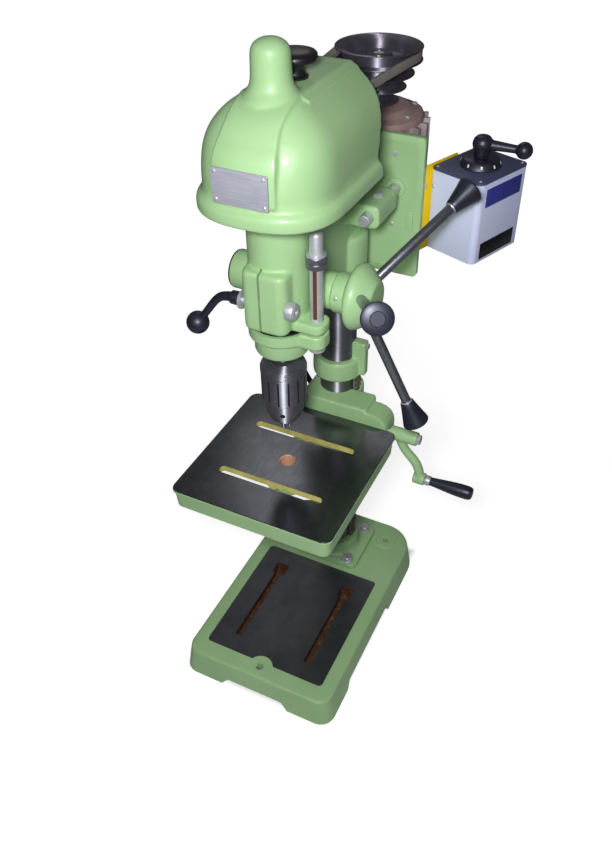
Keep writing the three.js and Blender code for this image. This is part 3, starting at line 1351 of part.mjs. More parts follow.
function makeSwitch() {
  const middle = [box.wide / 2, box.shaftDeep];
  const body = roundedBlock([0, box.wide], [0, box.deep], box.corner, [box.low, box.high]);
  const hole = disc(box.shaftHole, ...middle, box.holeLow, box.high + fit.over, facets.large);
  add("switch_box", placeAtBox(cut(body, hole)), colour.box, 0.5, 0);
  const z = box.high + fit.seat;
  const ring = turned(
    [[dial.bore, z], [dial.low, z], [dial.low, z + 2], [dial.high, z + dial.rise], [dial.bore, z + dial.rise],
      [dial.bore, z]],
    ...middle,
    facets.large,
  );
  blackPiece("switch_dial", placeAtBox(ring));

  const capLow = z + dial.rise + fit.seat;
  const cap = placeAtBox(turned(
    [[0, lever.stemLow], [lever.stem, lever.stemLow], [lever.stem, capLow], [lever.skirt, capLow],
      [lever.cap, capLow + lever.capRise], [lever.capTop, capLow + lever.rise - 5],
      [lever.capTop - 5, capLow + lever.rise], [0, capLow + lever.rise]],
    ...middle,
    facets.medium,
  ));
  const turn = THREE.MathUtils.degToRad(box.turn);
  const cx = box.x + middle[0] * Math.cos(turn) - middle[1] * Math.sin(turn);
  const cy = box.y + middle[0] * Math.sin(turn) + middle[1] * Math.cos(turn);
  const end = [lever.endX, lever.endY, lever.endZ];
  const arm = rod([cx, cy, capLow + lever.rodRise], end, lever.rod + 2, lever.rod, facets.small);
  blackPiece("switch_lever", join(cap, arm, ball(lever.ball, end, facets.ball)));

  const strapFront = plate.rear + fit.seat;
  const front = block(
    [strap.left, strap.right], [strapFront, strapFront + strap.thick], [strap.low, strap.high],
  );
  const leg = placeAtBox(block(
    [-fit.seat - strap.thick, -fit.seat], [strap.legStart, strap.legDeep], [strap.low, strap.high],
  ));
  add("switch_bracket", join(front, leg), colour.yellow, 0.5, 0);
}

makeBase();
makeFoot();
makeColumn();
makeCollar();
makeRack();
makeBracket();
makeLiftGears();
makeCrank();
makeClampLever();
makeTable();
makeHead();
makeQuill();
makeSpindle();
makeChuck();
makeDepthStop();
makeQuillLock();
makeFeed();
makeSpring();
makePulleys();
makeBelt();
makeMotor();
makeMotorPlate();
makeHood();
makeCoverKnob();
makeSwitch();

// The part's own origin is the middle of its bounding box on the floor.
const bounds = new THREE.Box3().setFromObject(drill);
const centre = bounds.getCenter(new THREE.Vector3());
drill.position.set(-centre.x, -centre.y, -bounds.min.z);
const part = new THREE.Group();
part.name = "pillar_drill";
part.add(drill);

export default part;
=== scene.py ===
import math
import bmesh
import bpy
from mathutils import Matrix, Vector


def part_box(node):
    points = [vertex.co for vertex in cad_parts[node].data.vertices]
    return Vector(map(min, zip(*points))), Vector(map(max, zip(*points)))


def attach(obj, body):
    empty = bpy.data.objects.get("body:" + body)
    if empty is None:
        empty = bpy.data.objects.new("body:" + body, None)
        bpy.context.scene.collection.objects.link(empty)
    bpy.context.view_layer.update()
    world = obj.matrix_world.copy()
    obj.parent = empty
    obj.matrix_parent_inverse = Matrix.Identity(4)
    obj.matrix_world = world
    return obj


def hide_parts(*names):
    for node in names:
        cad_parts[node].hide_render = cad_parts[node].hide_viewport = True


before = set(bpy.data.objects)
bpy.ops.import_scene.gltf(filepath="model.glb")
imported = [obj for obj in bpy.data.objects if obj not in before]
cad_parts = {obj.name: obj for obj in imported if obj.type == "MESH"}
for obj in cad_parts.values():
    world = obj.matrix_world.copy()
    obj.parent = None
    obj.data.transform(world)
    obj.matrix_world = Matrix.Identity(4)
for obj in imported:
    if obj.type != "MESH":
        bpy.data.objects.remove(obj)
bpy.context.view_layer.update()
scene = bpy.context.scene
columnLow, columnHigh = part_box("column")
columnMiddle = (columnLow + columnHigh) / 2
# pieces are drawn in millimetres about the column's axis, then brought into the frame
toFrame = Matrix.Translation((columnMiddle.x, columnMiddle.y, 0)) @ Matrix.Scale(0.001, 4)
reach = 180  # column axis to spindle axis
spindleAxis = (0, -reach, 0)
motorAxis = (0, 123, 0)
columnBore, quillBore = 28.2, 27.2  # clearance round the column and the quill
manySides, someSides, fewSides = 96, 48, 32  # of a round shape, by its size


def linear(text):
    parts = [int(text[i:i + 2], 16) / 255 for i in (1, 3, 5)]
    return tuple(p / 12.92 if p <= 0.04045 else ((p + 0.055) / 1.055) ** 2.4 for p in parts) + (1,)


def addNode(tree, kind, inputs=None, **settings):
    node = tree.nodes.new(kind)
    for key, value in settings.items():
        setattr(node, key, value)
    for key, value in (inputs or {}).items():
        if isinstance(value, bpy.types.NodeSocket):
            tree.links.new(value, node.inputs[key])
        else:
            node.inputs[key].default_value = value
    return node


def makeFinish(name, look):
    material = bpy.data.materials.new(name)
    material.use_nodes = True
    material.diffuse_color = linear(look["base"])
    tree = material.node_tree
    tree.nodes.clear()
    place = addNode(tree, "ShaderNodeTexCoord").outputs["Object"]
    stretched = addNode(tree, "ShaderNodeMapping", {
        "Vector": place, "Scale": look.get("stretch", (1, 1, 1))}).outputs[0]
    cloud = addNode(tree, "ShaderNodeTexNoise", {
        "Vector": place, "Scale": look["cloud"], "Detail": 4.0, "Roughness": 0.6}).outputs[0]
    grain = addNode(tree, "ShaderNodeTexNoise", {
        "Vector": stretched, "Scale": look["grain"], "Detail": 3.0, "Roughness": 0.55}).outputs[0]
    spread = addNode(tree, "ShaderNodeMapRange", {
        "Value": cloud, "From Min": 0.35, "From Max": 0.65}).outputs[0]
    colour = addNode(tree, "ShaderNodeMix", {
        0: spread, 6: linear(look["base"]), 7: linear(look["tint"])}, data_type="RGBA").outputs[2]
    if "streak" in look:
        streak = addNode(tree, "ShaderNodeMapRange", {
            "Value": grain, "From Min": 0.35, "From Max": 0.7,
            "To Max": look.get("streakShare", 0.6)}).outputs[0]
        colour = addNode(tree, "ShaderNodeMix", {
            0: streak, 6: colour, 7: linear(look["streak"])}, data_type="RGBA").outputs[2]
    if "speck" in look:
        dots = addNode(tree, "ShaderNodeTexNoise", {
            "Vector": place, "Scale": look.get("speckScale", 90), "Detail": 5.0, "Roughness": 0.7}).outputs[0]
        level = look.get("speckLevel", 0.66)
        dots = addNode(tree, "ShaderNodeMapRange", {
            "Value": dots, "From Min": level, "From Max": level + 0.07,
            "To Max": look.get("speckShare", 0.7)}).outputs[0]
        colour = addNode(tree, "ShaderNodeMix", {
            0: dots, 6: colour, 7: linear(look["speck"])}, data_type="RGBA").outputs[2]
    low, high = look["rough"]
    rough = addNode(tree, "ShaderNodeMapRange", {
        "Value": cloud if look.get("metal", 0) < 0.5 else grain,
        "From Min": 0.3, "From Max": 0.7, "To Min": low, "To Max": high}).outputs[0]
    bump = addNode(tree, "ShaderNodeBump", {
        "Height": grain, "Strength": look.get("bump", 0.1),
        "Distance": look.get("bumpDepth", 0.0002)}).outputs[0]
    shader = addNode(tree, "ShaderNodeBsdfPrincipled", {
        "Base Color": colour, "Roughness": rough, "Metallic": float(look.get("metal", 0)), "Normal": bump,
        "Coat Weight": float(look.get("coat", 0)), "Coat Roughness": float(look.get("coatRough", 0.12)),
        "Specular Tint": look.get("shine", (1, 1, 1, 1)), "Anisotropic": float(look.get("drawn", 0))})
    if "drawn" in look:
        # marks that run round the upright axis spread a highlight up and down
        upright = addNode(tree, "ShaderNodeCombineXYZ", {0: 0.02, 1: 0.01, 2: 1.0}).outputs[0]
        tree.links.new(upright, shader.inputs["Tangent"])
    addNode(tree, "ShaderNodeOutputMaterial", {"Surface": shader.outputs[0]})
    return material


# cloud, grain and speckScale are repeats a metre, so a grain of 300 is a mark of about 3 mm, coarser than the
# real one so that it shows; stretch draws the grain out along an axis
finishes = {
    # stoving enamel over filled castings: an even colour, slightly wavy, with a semi gloss
    "greenEnamel": {"base": "#a9cf99", "tint": "#a0c790", "rough": (0.4, 0.5), "cloud": 9, "grain": 120,
                    "bump": 0.05, "bumpDepth": 0.0006, "coat": 0.1, "coatRough": 0.08},
    # ground and oiled grey iron: dark, with fine straight grinding marks and a blurred mirror
    "groundIron": {"base": "#74757b", "tint": "#626368", "rough": (0.16, 0.24), "metal": 0.9, "cloud": 16,
                   "grain": 420, "stretch": (1, 0.12, 1), "streak": "#66676c", "streakShare": 0.2,
                   "bump": 0.05, "bumpDepth": 0.0001, "speck": "#6d6258", "speckScale": 45,
                   "speckLevel": 0.66, "speckShare": 0.3},
    # the same iron on the foot, planed along its length and duller
    "basePlate": {"base": "#606167", "tint": "#505156", "rough": (0.36, 0.46), "metal": 0.8, "cloud": 20,
                  "grain": 380, "stretch": (0.12, 1, 1), "streak": "#696a70", "streakShare": 0.2,
                  "bump": 0.05, "bumpDepth": 0.0001, "speck": "#6d6255", "speckScale": 40, "speckLevel": 0.65,
                  "speckShare": 0.3},
    # rough cast slot walls with oil and rust: matt and brown
    "slotRust": {"base": "#5a3520", "tint": "#3d2415", "rough": (0.6, 0.8), "cloud": 40, "grain": 260,
                 "bump": 0.4, "bumpDepth": 0.0006, "speck": "#7d5a34", "speckScale": 120, "speckLevel": 0.55},
    # slot walls of the table, primed: matt and pale olive
    "slotOlive": {"base": "#cdc578", "tint": "#b5ad5c", "rough": (0.5, 0.7), "cloud": 40, "grain": 260,
                  "bump": 0.3, "bumpDepth": 0.0005, "speck": "#7a7438", "speckScale": 120, "speckLevel": 0.6},
    # bare, slightly coppery iron of the bore's wall: matt
    "holeIron": {"base": "#d8a488", "tint": "#c49074", "rough": (0.5, 0.65), "cloud": 40, "grain": 260,
                 "bump": 0.2, "bumpDepth": 0.0003},
    # centreless ground tube: polished round the axis, so the fine marks run level
    "columnSteel": {"base": "#aeadb8", "tint": "#a09fab", "rough": (0.52, 0.6), "metal": 0.93, "cloud": 7,
                    "grain": 18, "stretch": (1, 1, 60), "streak": "#7a7982", "streakShare": 0.4, "bump": 0.03,
                    "bumpDepth": 0.0001, "drawn": 1.0},
    # bright turned steel of screws, bars and shafts: pale, with a soft shine and a few dark specks
    "brightSteel": {"base": "#d6d7de", "tint": "#c4c5cd", "rough": (0.4, 0.52), "metal": 0.6, "cloud": 60,
                    "grain": 500, "bump": 0.05, "bumpDepth": 0.0001, "speck": "#a19e9a", "speckScale": 140,
                    "speckLevel": 0.64},
    # hot rolled steel of the rack, oiled: dull and a little brown
    "rackSteel": {"base": "#8a7f7a", "tint": "#756b67", "rough": (0.45, 0.58), "metal": 0.5, "cloud": 40,
                  "grain": 300, "bump": 0.1, "bumpDepth": 0.0002},
    # hardened chuck steel, ground, with level turning marks
    "chuckSteel": {"base": "#aeaeba", "tint": "#9c9ca8", "rough": (0.5, 0.58), "metal": 0.88, "cloud": 30,
                   "grain": 30, "stretch": (1, 1, 40), "streak": "#77777f", "streakShare": 0.4, "bump": 0.04,
                   "bumpDepth": 0.0001, "drawn": 1.0},
    # polished and oiled bar of the feed arms and knurled nuts: grey, and nearly black in its shade
    "barSteel": {"base": "#9899a6", "tint": "#82838f", "rough": (0.3, 0.44), "metal": 0.9, "cloud": 30,
                 "grain": 300, "bump": 0.05, "bumpDepth": 0.0001, "streak": "#a4a5b0", "streakShare": 0.3},
    # turned pulleys, worn by the belt: level turning marks and a long upright highlight
    "pulleySteel": {"base": "#a39fb0", "tint": "#8b8796", "rough": (0.46, 0.56), "metal": 0.9, "cloud": 30,
                    "grain": 26, "stretch": (1, 1, 45), "streak": "#9a96a4", "streakShare": 0.4, "bump": 0.05,
                    "bumpDepth": 0.0001, "drawn": 0.98},
    # pressed phenolic, polished: black with a broad soft shine; the blue in its colour and in its shine is a
    # painted bluish reflection
    "blackPhenolic": {"base": "#1b1c28", "tint": "#232534", "rough": (0.4, 0.48), "cloud": 30, "grain": 260,
                      "bump": 0.02, "bumpDepth": 0.0002, "coat": 0.5, "coatRough": 0.4,
                      "shine": (0.72, 0.76, 1, 1)},
    # blacked forging, a little rougher
    "blackForging": {"base": "#19191c", "tint": "#222226", "rough": (0.28, 0.42), "metal": 0.3, "cloud": 50,
                     "grain": 240, "bump": 0.15, "bumpDepth": 0.0004, "speck": "#4b4a4d", "speckScale": 110,
                     "speckLevel": 0.66, "speckShare": 0.6},
    # black moulded knob of the pulley cover, the same phenolic as the levers' grips, plain black without
    # their painted bluish reflection
    "coverPhenolic": {"base": "#0e0e11", "tint": "#141418", "rough": (0.36, 0.46), "cloud": 30, "grain": 260,
                      "bump": 0.05, "bumpDepth": 0.0002, "coat": 0.4, "coatRough": 0.3},
    # rubber and fabric belt, dusty and dull
    "beltFabric": {"base": "#948d89", "tint": "#807975", "rough": (0.72, 0.88), "cloud": 26, "grain": 650,
                   "bump": 0.5, "bumpDepth": 0.0005, "streak": "#9a928d", "streakShare": 0.4},
    # aluminium motor frame under thin brown paint
    "motorPaint": {"base": "#a68d8a", "tint": "#937c79", "rough": (0.5, 0.66), "cloud": 24, "grain": 240,
                   "bump": 0.25, "bumpDepth": 0.0004, "speck": "#a39390", "speckScale": 80,
                   "speckLevel": 0.62},
    # bare aluminium on the fins' outer faces: pale, with a broad shine; laid only on the fins that face the
    # lamp, where it is also a painted highlight
    "finMetal": {"base": "#e2d8de", "tint": "#c9bec4", "rough": (0.35, 0.5), "metal": 0.7, "cloud": 60,
                 "grain": 240, "bump": 0.2, "bumpDepth": 0.0003},
    # brushed sheet, with the brush running across
    "plateSheet": {"base": "#c9cad6", "tint": "#bbbccb", "rough": (0.4, 0.5), "metal": 0.35, "cloud": 20,
                   "grain": 700, "stretch": (0.05, 1, 1), "streak": "#9496a6", "streakShare": 0.5,
                   "bump": 0.08, "bumpDepth": 0.0001},
    # powder coated sheet steel of the switch box: pale, fine grained and semi matt
    "boxPaint": {"base": "#dde3ff", "tint": "#d3dbff", "rough": (0.34, 0.46), "cloud": 9, "grain": 420,
                 "bump": 0.1, "bumpDepth": 0.0002, "coat": 0.1},
    # its lid, coated slate blue
    "boxLid": {"base": "#4a5272", "tint": "#414866", "rough": (0.34, 0.46), "cloud": 12, "grain": 420,
               "bump": 0.1, "bumpDepth": 0.0002},
    # strong yellow paint on the strap, with a few rubbed spots
    "yellowPaint": {"base": "#ffdf06", "tint": "#f6d102", "rough": (0.34, 0.46), "cloud": 12, "grain": 300,
                    "bump": 0.1, "bumpDepth": 0.0002, "speck": "#b89d10", "speckScale": 90,
                    "speckLevel": 0.7},
    # printed film of the two bare labels: an even colour with a soft gloss
    "labelBlue": {"base": "#3a3fa0", "tint": "#34398f", "rough": (0.35, 0.45), "cloud": 30, "grain": 300},
    "labelBlack": {"base": "#0f0f14", "tint": "#17171d", "rough": (0.2, 0.3), "cloud": 30, "grain": 300},
    # white paint filled into the dial's marks
    "whiteMark": {"base": "#e9e9ec", "tint": "#d9dade", "rough": (0.4, 0.5), "cloud": 60, "grain": 300},
    # tarnished brass of the depth scale: brown, with a dull shine
    "brassStrip": {"base": "#7a4a3e", "tint": "#633a31", "rough": (0.4, 0.5), "metal": 0.2, "cloud": 60,
                   "grain": 300, "streak": "#8d6a4c", "streakShare": 0.3},
    # dark filler in the scale's ticks
    "darkMark": {"base": "#2b1b18", "tint": "#231512", "rough": (0.5, 0.6), "cloud": 60, "grain": 300},
}
materials = {name: makeFinish(name, look) for name, look in finishes.items()}
print("finishes", len(materials))


def take(bm):
    mesh = bpy.data.meshes.new("part")
    bm.to_mesh(mesh)
    bm.free()
    return mesh


def merged(*parts):
    whole = bmesh.new()
    for part in parts:
        mesh = take(part)
        whole.from_mesh(mesh)
        bpy.data.meshes.remove(mesh)
    return whole


def tidy(bm):
    bmesh.ops.remove_doubles(bm, verts=bm.verts, dist=0.001)
    bmesh.ops.recalc_face_normals(bm, faces=bm.faces)
    return bm


def throughModifiers(bm, *steps):
    holder = bpy.data.objects.new("worked", take(bm))
    scene.collection.objects.link(holder)
    for kind, settings in steps:
        modifier = holder.modifiers.new(kind, kind)
        for key, value in settings.items():
            setattr(modifier, key, value)
    bpy.context.view_layer.update()
    graph = bpy.context.evaluated_depsgraph_get()
    made = bpy.data.meshes.new_from_object(holder.evaluated_get(graph), depsgraph=graph)
    result = bmesh.new()
    result.from_mesh(made)
    old = holder.data
    bpy.data.objects.remove(holder)
    bpy.data.meshes.remove(old)
    bpy.data.meshes.remove(made)
    return result


def carve(bm, *cutters, operation="DIFFERENCE"):
    for cutter in cutters:
        tool = bpy.data.objects.new("cutter", take(cutter))
        scene.collection.objects.link(tool)
        bm = throughModifiers(bm, ("BOOLEAN", {"object": tool, "operation": operation, "solver": "MANIFOLD"}))
        old = tool.data
        bpy.data.objects.remove(tool)
        bpy.data.meshes.remove(old)
    return bm


def castOver(bm, voxel, passes):
    # grows one skin over overlapping shapes and rounds it, as sand castings are
    return throughModifiers(
        bm,
        ("REMESH", {"mode": "VOXEL", "voxel_size": voxel, "use_smooth_shade": True}),
        ("SMOOTH", {"factor": 0.5, "iterations": passes}),
    )


def soften(bm, width, angle=28, segments=2):
    sharp = [e for e in bm.edges if len(e.link_faces) == 2 and e.calc_face_angle(0) > math.radians(angle)]
    bmesh.ops.bevel(bm, geom=sharp, offset=width, offset_type="OFFSET", segments=segments, profile=0.5,
                    affect="EDGES", clamp_overlap=True, material=-1)
    return bm


def moved(bm, matrix):
    bm.transform(matrix)
    return bm


def facing(centre, out):
    # takes a shape that stands on the origin to centre, with its top towards out
    return Matrix.Translation(centre) @ out.to_track_quat("Z", "Y").to_matrix().to_4x4()


def polar(radius, angle, x=0, y=0):
    return (x + radius * math.cos(angle), y + radius * math.sin(angle))


def span(half, middle=0):
    return (middle - half, middle + half)


def lathe(profile, centre=(0, 0, 0), axis="Z", steps=manySides):
    # profile holds (radius, place along the axis) pairs
    bm = bmesh.new()
    verts = [bm.verts.new((radius, 0, along)) for radius, along in profile]
    for first, second in zip(verts, verts[1:]):
        bm.edges.new((first, second))
    if profile[0][0] > 0 and profile[-1][0] > 0:
        bm.edges.new((verts[-1], verts[0]))
    bmesh.ops.spin(bm, geom=bm.verts[:] + bm.edges[:], axis=(0, 0, 1), cent=(0, 0, 0), angle=2 * math.pi,
                   steps=steps, use_merge=True, use_duplicate=False)
    tidy(bm)
    if axis == "X":
        bm.transform(Matrix.Rotation(math.pi / 2, 4, "Y"))
    if axis == "Y":
        bm.transform(Matrix.Rotation(-math.pi / 2, 4, "X"))
    return moved(bm, Matrix.Translation(centre))


def drum(radius, low, high, centre=(0, 0, 0), axis="Z", steps=manySides):
    return lathe([(0, low), (radius, low), (radius, high), (0, high)], centre, axis, steps)


def rod(start, end, radius, endRadius=None, steps=fewSides, edge=0.0):
    start, end = Vector(start), Vector(end)
    along = end - start
    bm = bmesh.new()
    bmesh.ops.create_cone(bm, cap_ends=True, segments=steps, radius1=radius,
                          radius2=radius if endRadius is None else endRadius, depth=along.length)
    if edge:
        soften(bm, edge, angle=50)
    return moved(bm, facing((start + end) / 2, along))


def ball(radius, centre, steps=fewSides):
    bm = bmesh.new()
    bmesh.ops.create_uvsphere(bm, u_segments=steps, v_segments=steps // 2, radius=radius)
    return moved(bm, Matrix.Translation(centre))


def brick(xs, ys, zs, edge=0.0):
    size = (xs[1] - xs[0], ys[1] - ys[0], zs[1] - zs[0])
    bm = bmesh.new()
    bmesh.ops.create_cube(bm, size=1)
    bm.transform(Matrix.Translation(((xs[0] + xs[1]) / 2, (ys[0] + ys[1]) / 2, (zs[0] + zs[1]) / 2))
                 @ Matrix.Diagonal((*size, 1)))
    return soften(bm, edge) if edge else bm


def plate(outline, push, edge=0.0):
    # an outline pushed out into a slab
    bm = bmesh.new()
    face = bm.faces.new([bm.verts.new(p) for p in outline])
    made = bmesh.ops.extrude_face_region(bm, geom=[face])
    bmesh.ops.translate(bm, verts=[v for v in made["geom"] if isinstance(v, bmesh.types.BMVert)], vec=push)
    tidy(bm)
    return soften(bm, edge) if edge else bm


def skin(rings, closed=False):
    # bridges rings of equal count; a closed skin goes back to its first ring, another gets end faces
    bm = bmesh.new()
    loops = []
    for ring in rings:
        verts = [bm.verts.new(p) for p in ring]
        loops.append([bm.edges.new((verts[i - 1], verts[i])) for i in range(len(verts))])
    for lower, upper in zip(loops, loops[1:] + (loops[:1] if closed else [])):
        bmesh.ops.bridge_loops(bm, edges=lower + upper)
    for loop in () if closed else (loops[0], loops[-1]):
        bmesh.ops.contextual_create(bm, geom=loop)
    return tidy(bm)


def roundedRing(xs, ys, frontRadius, rearRadius, z, steps=10):
    corners = [(xs[1] - frontRadius, ys[0] + frontRadius, frontRadius, -90),
               (xs[1] - rearRadius, ys[1] - rearRadius, rearRadius, 0),
               (xs[0] + rearRadius, ys[1] - rearRadius, rearRadius, 90),
               (xs[0] + frontRadius, ys[0] + frontRadius, frontRadius, 180)]
    return [(*polar(r, math.radians(start + 90 * i / steps), cx, cy), z)
            for cx, cy, r, start in corners for i in range(steps + 1)]


def roundedBrick(xs, ys, zs, radius, edge=0.0, segments=2):
    bm = skin([roundedRing(xs, ys, radius, radius, zs[0]), roundedRing(xs, ys, radius, radius, zs[1])])
    return soften(bm, edge, angle=40, segments=segments) if edge else bm


def uprightBrick(xs, ys, zs, radius, edge):
    # a rounded brick that stands up, with its corners rounded as seen from the front
    bm = roundedBrick(xs, zs, (-ys[1], -ys[0]), radius, edge, 3)
    return moved(bm, Matrix.Rotation(math.pi / 2, 4, "X"))


def sweep(points, radii):
    # a round bar along a smooth path, with a radius at each point
    curve = bpy.data.curves.new("path", "CURVE")
    curve.dimensions = "3D"
    curve.bevel_depth = 1
    curve.bevel_resolution = 5
    curve.use_fill_caps = True
    spline = curve.splines.new("NURBS")
    spline.points.add(len(points) - 1)
    for point, place, radius in zip(spline.points, points, radii):
        point.co = (*place, 1)
        point.radius = radius
    spline.order_u = 4
    spline.use_endpoint_u = True
    spline.resolution_u = 8
    holder = bpy.data.objects.new("path", curve)
    scene.collection.objects.link(holder)
    bpy.context.view_layer.update()
    graph = bpy.context.evaluated_depsgraph_get()
    mesh = bpy.data.meshes.new_from_object(holder.evaluated_get(graph))
    bm = bmesh.new()
    bm.from_mesh(mesh)
    bpy.data.objects.remove(holder)
    bpy.data.curves.remove(curve)
    bpy.data.meshes.remove(mesh)
    return tidy(bm)


def piece(bm, name, body, finish, stands=(), sharp=32, paint=()):
    # paint holds pairs of another finish and a test of which faces get it
    mesh = take(bm)
    mesh.name = name
    mesh.materials.clear()
    for entry in [finish] + [other for other, _ in paint]:
        mesh.materials.append(materials[entry])
    for polygon in mesh.polygons:
        polygon.use_smooth = True
        polygon.material_index = 0
        for i, (_, test) in enumerate(paint):
            if test(polygon.center, polygon.normal):
                polygon.material_index = i + 1
    mesh.set_sharp_from_angle(angle=math.radians(sharp))
    mesh.transform(toFrame)
    made = bpy.data.objects.new(name, mesh)
    scene.collection.objects.link(made)
    if stands:
        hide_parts(*stands)
    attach(made, body)


def screwHead(centre, out, radius, height):
    # a slotted pan head screw that stands on a surface whose outward direction is out
    bm = lathe([(0, -0.6), (radius, -0.6), (radius, height * 0.45), (radius * 0.75, height * 0.9),
                (0, height)],
               steps=24)
    bm = carve(bm, brick(span(radius * 1.2), span(radius * 0.13), (height * 0.45, height * 2)))
    return moved(bm, facing(centre, Vector(out).normalized()))


def hexHead(centre, out, radius, height, turn=0.0):
    bm = bmesh.new()
    bmesh.ops.create_cone(bm, cap_ends=True, segments=6, radius1=radius, radius2=radius, depth=height)
    bm.transform(Matrix.Translation((0, 0, height / 2)) @ Matrix.Rotation(turn, 4, "Z"))
    crown = lathe([(0, -1), (radius * 1.08, -1), (radius * 1.08, height * 0.72),
                   (radius * 0.8, height + 0.02), (0, height + 0.02)], steps=someSides)
    bm = carve(bm, crown, operation="INTERSECT")
    return moved(bm, facing(centre, Vector(out).normalized()))


# the base casting with its ground plate, T-slots, bosses and arches
base = {"half": 137, "front": -331, "rear": 89, "high": 50, "flare": 9, "edge": 4, "frontCorner": 26,
        "rearCorner": 58, "wall": 11, "roof": 11, "archHigh": 15, "plateHalf": 107, "plateFront": -295,
        "plateRear": -60, "sink": 2.5, "slotX": 65, "slotFront": -262, "slotRear": -92, "slotHalf": 6,
        "slotFootHalf": 11, "entryHalf": 12, "entryLong": 24, "frontBoss": (0, -304, 0), "rearBoss": (86, 38)}


def makeBase():
    b = base
    top, arch, first, last = b["high"], b["archHigh"], b["slotFront"], b["slotRear"]
    rearBosses = [(s * b["rearBoss"][0], b["rearBoss"][1], 0) for s in (-1, 1)]

    def ring(inset, z):
        return roundedRing(span(b["half"] - inset), (b["front"] + inset, b["rear"] - inset),
                           b["frontCorner"] - inset * 0.4, b["rearCorner"] - inset * 0.6, z)

    rim = [ring(b["flare"] * 0.75 + b["edge"] * 1.35 * (1 - math.cos(a)), top - b["edge"] * (1 - math.sin(a)))
           for a in (math.pi / 2 * i / 6 for i in range(7))]
    shell = skin([ring(0, 0), ring(b["flare"] * 0.35, 22)] + rim)
    hollow = skin([ring(b["wall"], -1), ring(b["wall"] + b["flare"], top - b["roof"])])
    front = plate([(x, b["front"] - 9, z) for x, z in ((-62, -1), (62, -1), (50, arch), (-50, arch))],
                  (0, 440, 0), edge=3)
    side = plate([(-150, y, z) for y, z in ((-253, -1), (-69, -1), (-81, arch), (-241, arch))],
                 (300, 0, 0), edge=3)
    sink = roundedBrick(span(b["plateHalf"]), (b["plateFront"], b["plateRear"]), (top - b["sink"], 60), 7)
    island = drum(21, 30, 70, b["frontBoss"])
    shell = carve(shell, hollow, front, side, carve(sink, island))
    rails = [brick(span(18, s * b["slotX"]), (-270, -84), (20, 47)) for s in (-1, 1)]
    bosses = [lathe([(0, 36), (18, 36), (18, 51), (16.8, 52.5), (0, 52.5)], at) for at in rearBosses]
    shell = carve(shell, *rails, *bosses, operation="UNION")
    holes = [drum(6, -5, 70, b["frontBoss"], steps=someSides)]
    holes += [drum(5, -5, 70, at, steps=someSides) for at in rearBosses]
    # each T-slot has a mouth, a wider foot below it and an entry at its rear
    slotCuts = [(b["slotHalf"], first, last, 35, 60), (b["slotFootHalf"], first - 0.01, last + 0.01, 27, 37),
                (b["entryHalf"], last - b["entryLong"], last + 0.02, 26.99, 61)]
    for s in (-1, 1):
        holes += [brick(span(half, s * b["slotX"]), (near, far), (low, high))
                  for half, near, far, low, high in slotCuts]
    shell = carve(shell, *holes)

    def onPlate(c, n):
        inside = abs(c.x) < b["plateHalf"] + 1 and b["plateFront"] - 1 < c.y < b["plateRear"] + 1
        return inside and abs(c.z - (top - b["sink"])) < 0.3 and n.z > 0.9

    def inSlot(c, n):
        near = abs(abs(c.x) - b["slotX"]) < b["entryHalf"] + 0.3 and first - 0.5 < c.y < last + 0.5
        return near and 26 < c.z < 47.4

    piece(shell, "base_casting", "frame", "greenEnamel", ["base"], 30,
          [("basePlate", onPlate), ("slotRust", inSlot)])
    piece(lathe([(6.2, 50.05), (9.5, 50.05), (9.2, 50.8), (6.2, 50.9)], b["frontBoss"]), "boss_rim", "frame",
          "greenEnamel")


# the column's foot, a pad and a hub cast in one, and its four bolts
foot = {"halfWide": 60, "halfDeep": 54, "low": 50.3, "top": 62, "corner": 12, "boltAt": 41, "spotFace": 13,
        "washer": 11, "headRadius": 9, "headHigh": 6.2, "shank": 5}


def makeFoot():
    f = foot
    pad = roundedBrick(span(f["halfWide"]), span(f["halfDeep"]), (f["low"], f["top"]), f["corner"], edge=1.6,
                       segments=3)
    hub = lathe([(0, 51), (47, 51), (46, 63), (43.5, 66), (41.5, 72), (41, 82), (39, 86), (0, 86)])
    body = castOver(merged(pad, hub), 1.4, 6)
    places = [(sx * f["boltAt"], sy * f["boltAt"]) for sx, sy in ((-1, -1), (1, -1), (1, 1), (-1, 1))]
    cutters = [drum(columnBore, 40, 90)]
    cutters += [drum(f["spotFace"], f["top"] - 0.1, 90, (x, y, 0), steps=someSides) for x, y in places]
    piece(carve(body, *cutters), "column_foot", "frame", "greenEnamel", ["column_flange"], 35)
    w = f["washer"]
    for i, (x, y) in enumerate(places):
        washer = lathe([(5, 62.3), (w, 62.3), (w, 64.1), (w - 0.4, 64.4), (5, 64.4)], (x, y, 0),
                       steps=someSides)
        head = hexHead((x, y, 64.3), (0, 0, 1), f["headRadius"], f["headHigh"], 0.3 + i)
        shank = rod((x, y, 40), (x, y, 64.6), f["shank"])
        piece(merged(washer, head, shank), "foot_bolt_%d" % (i + 1), "frame", "brightSteel",
              ["flange_bolt_%d" % (i + 1)])


# the column tube and the clamped collar that keeps the table from being wound into the head
column = {"radius": 28, "low": 50.3, "high": 698, "edge": 2, "collarLow": 457, "boltZ": 513, "boltHole": 3.4}


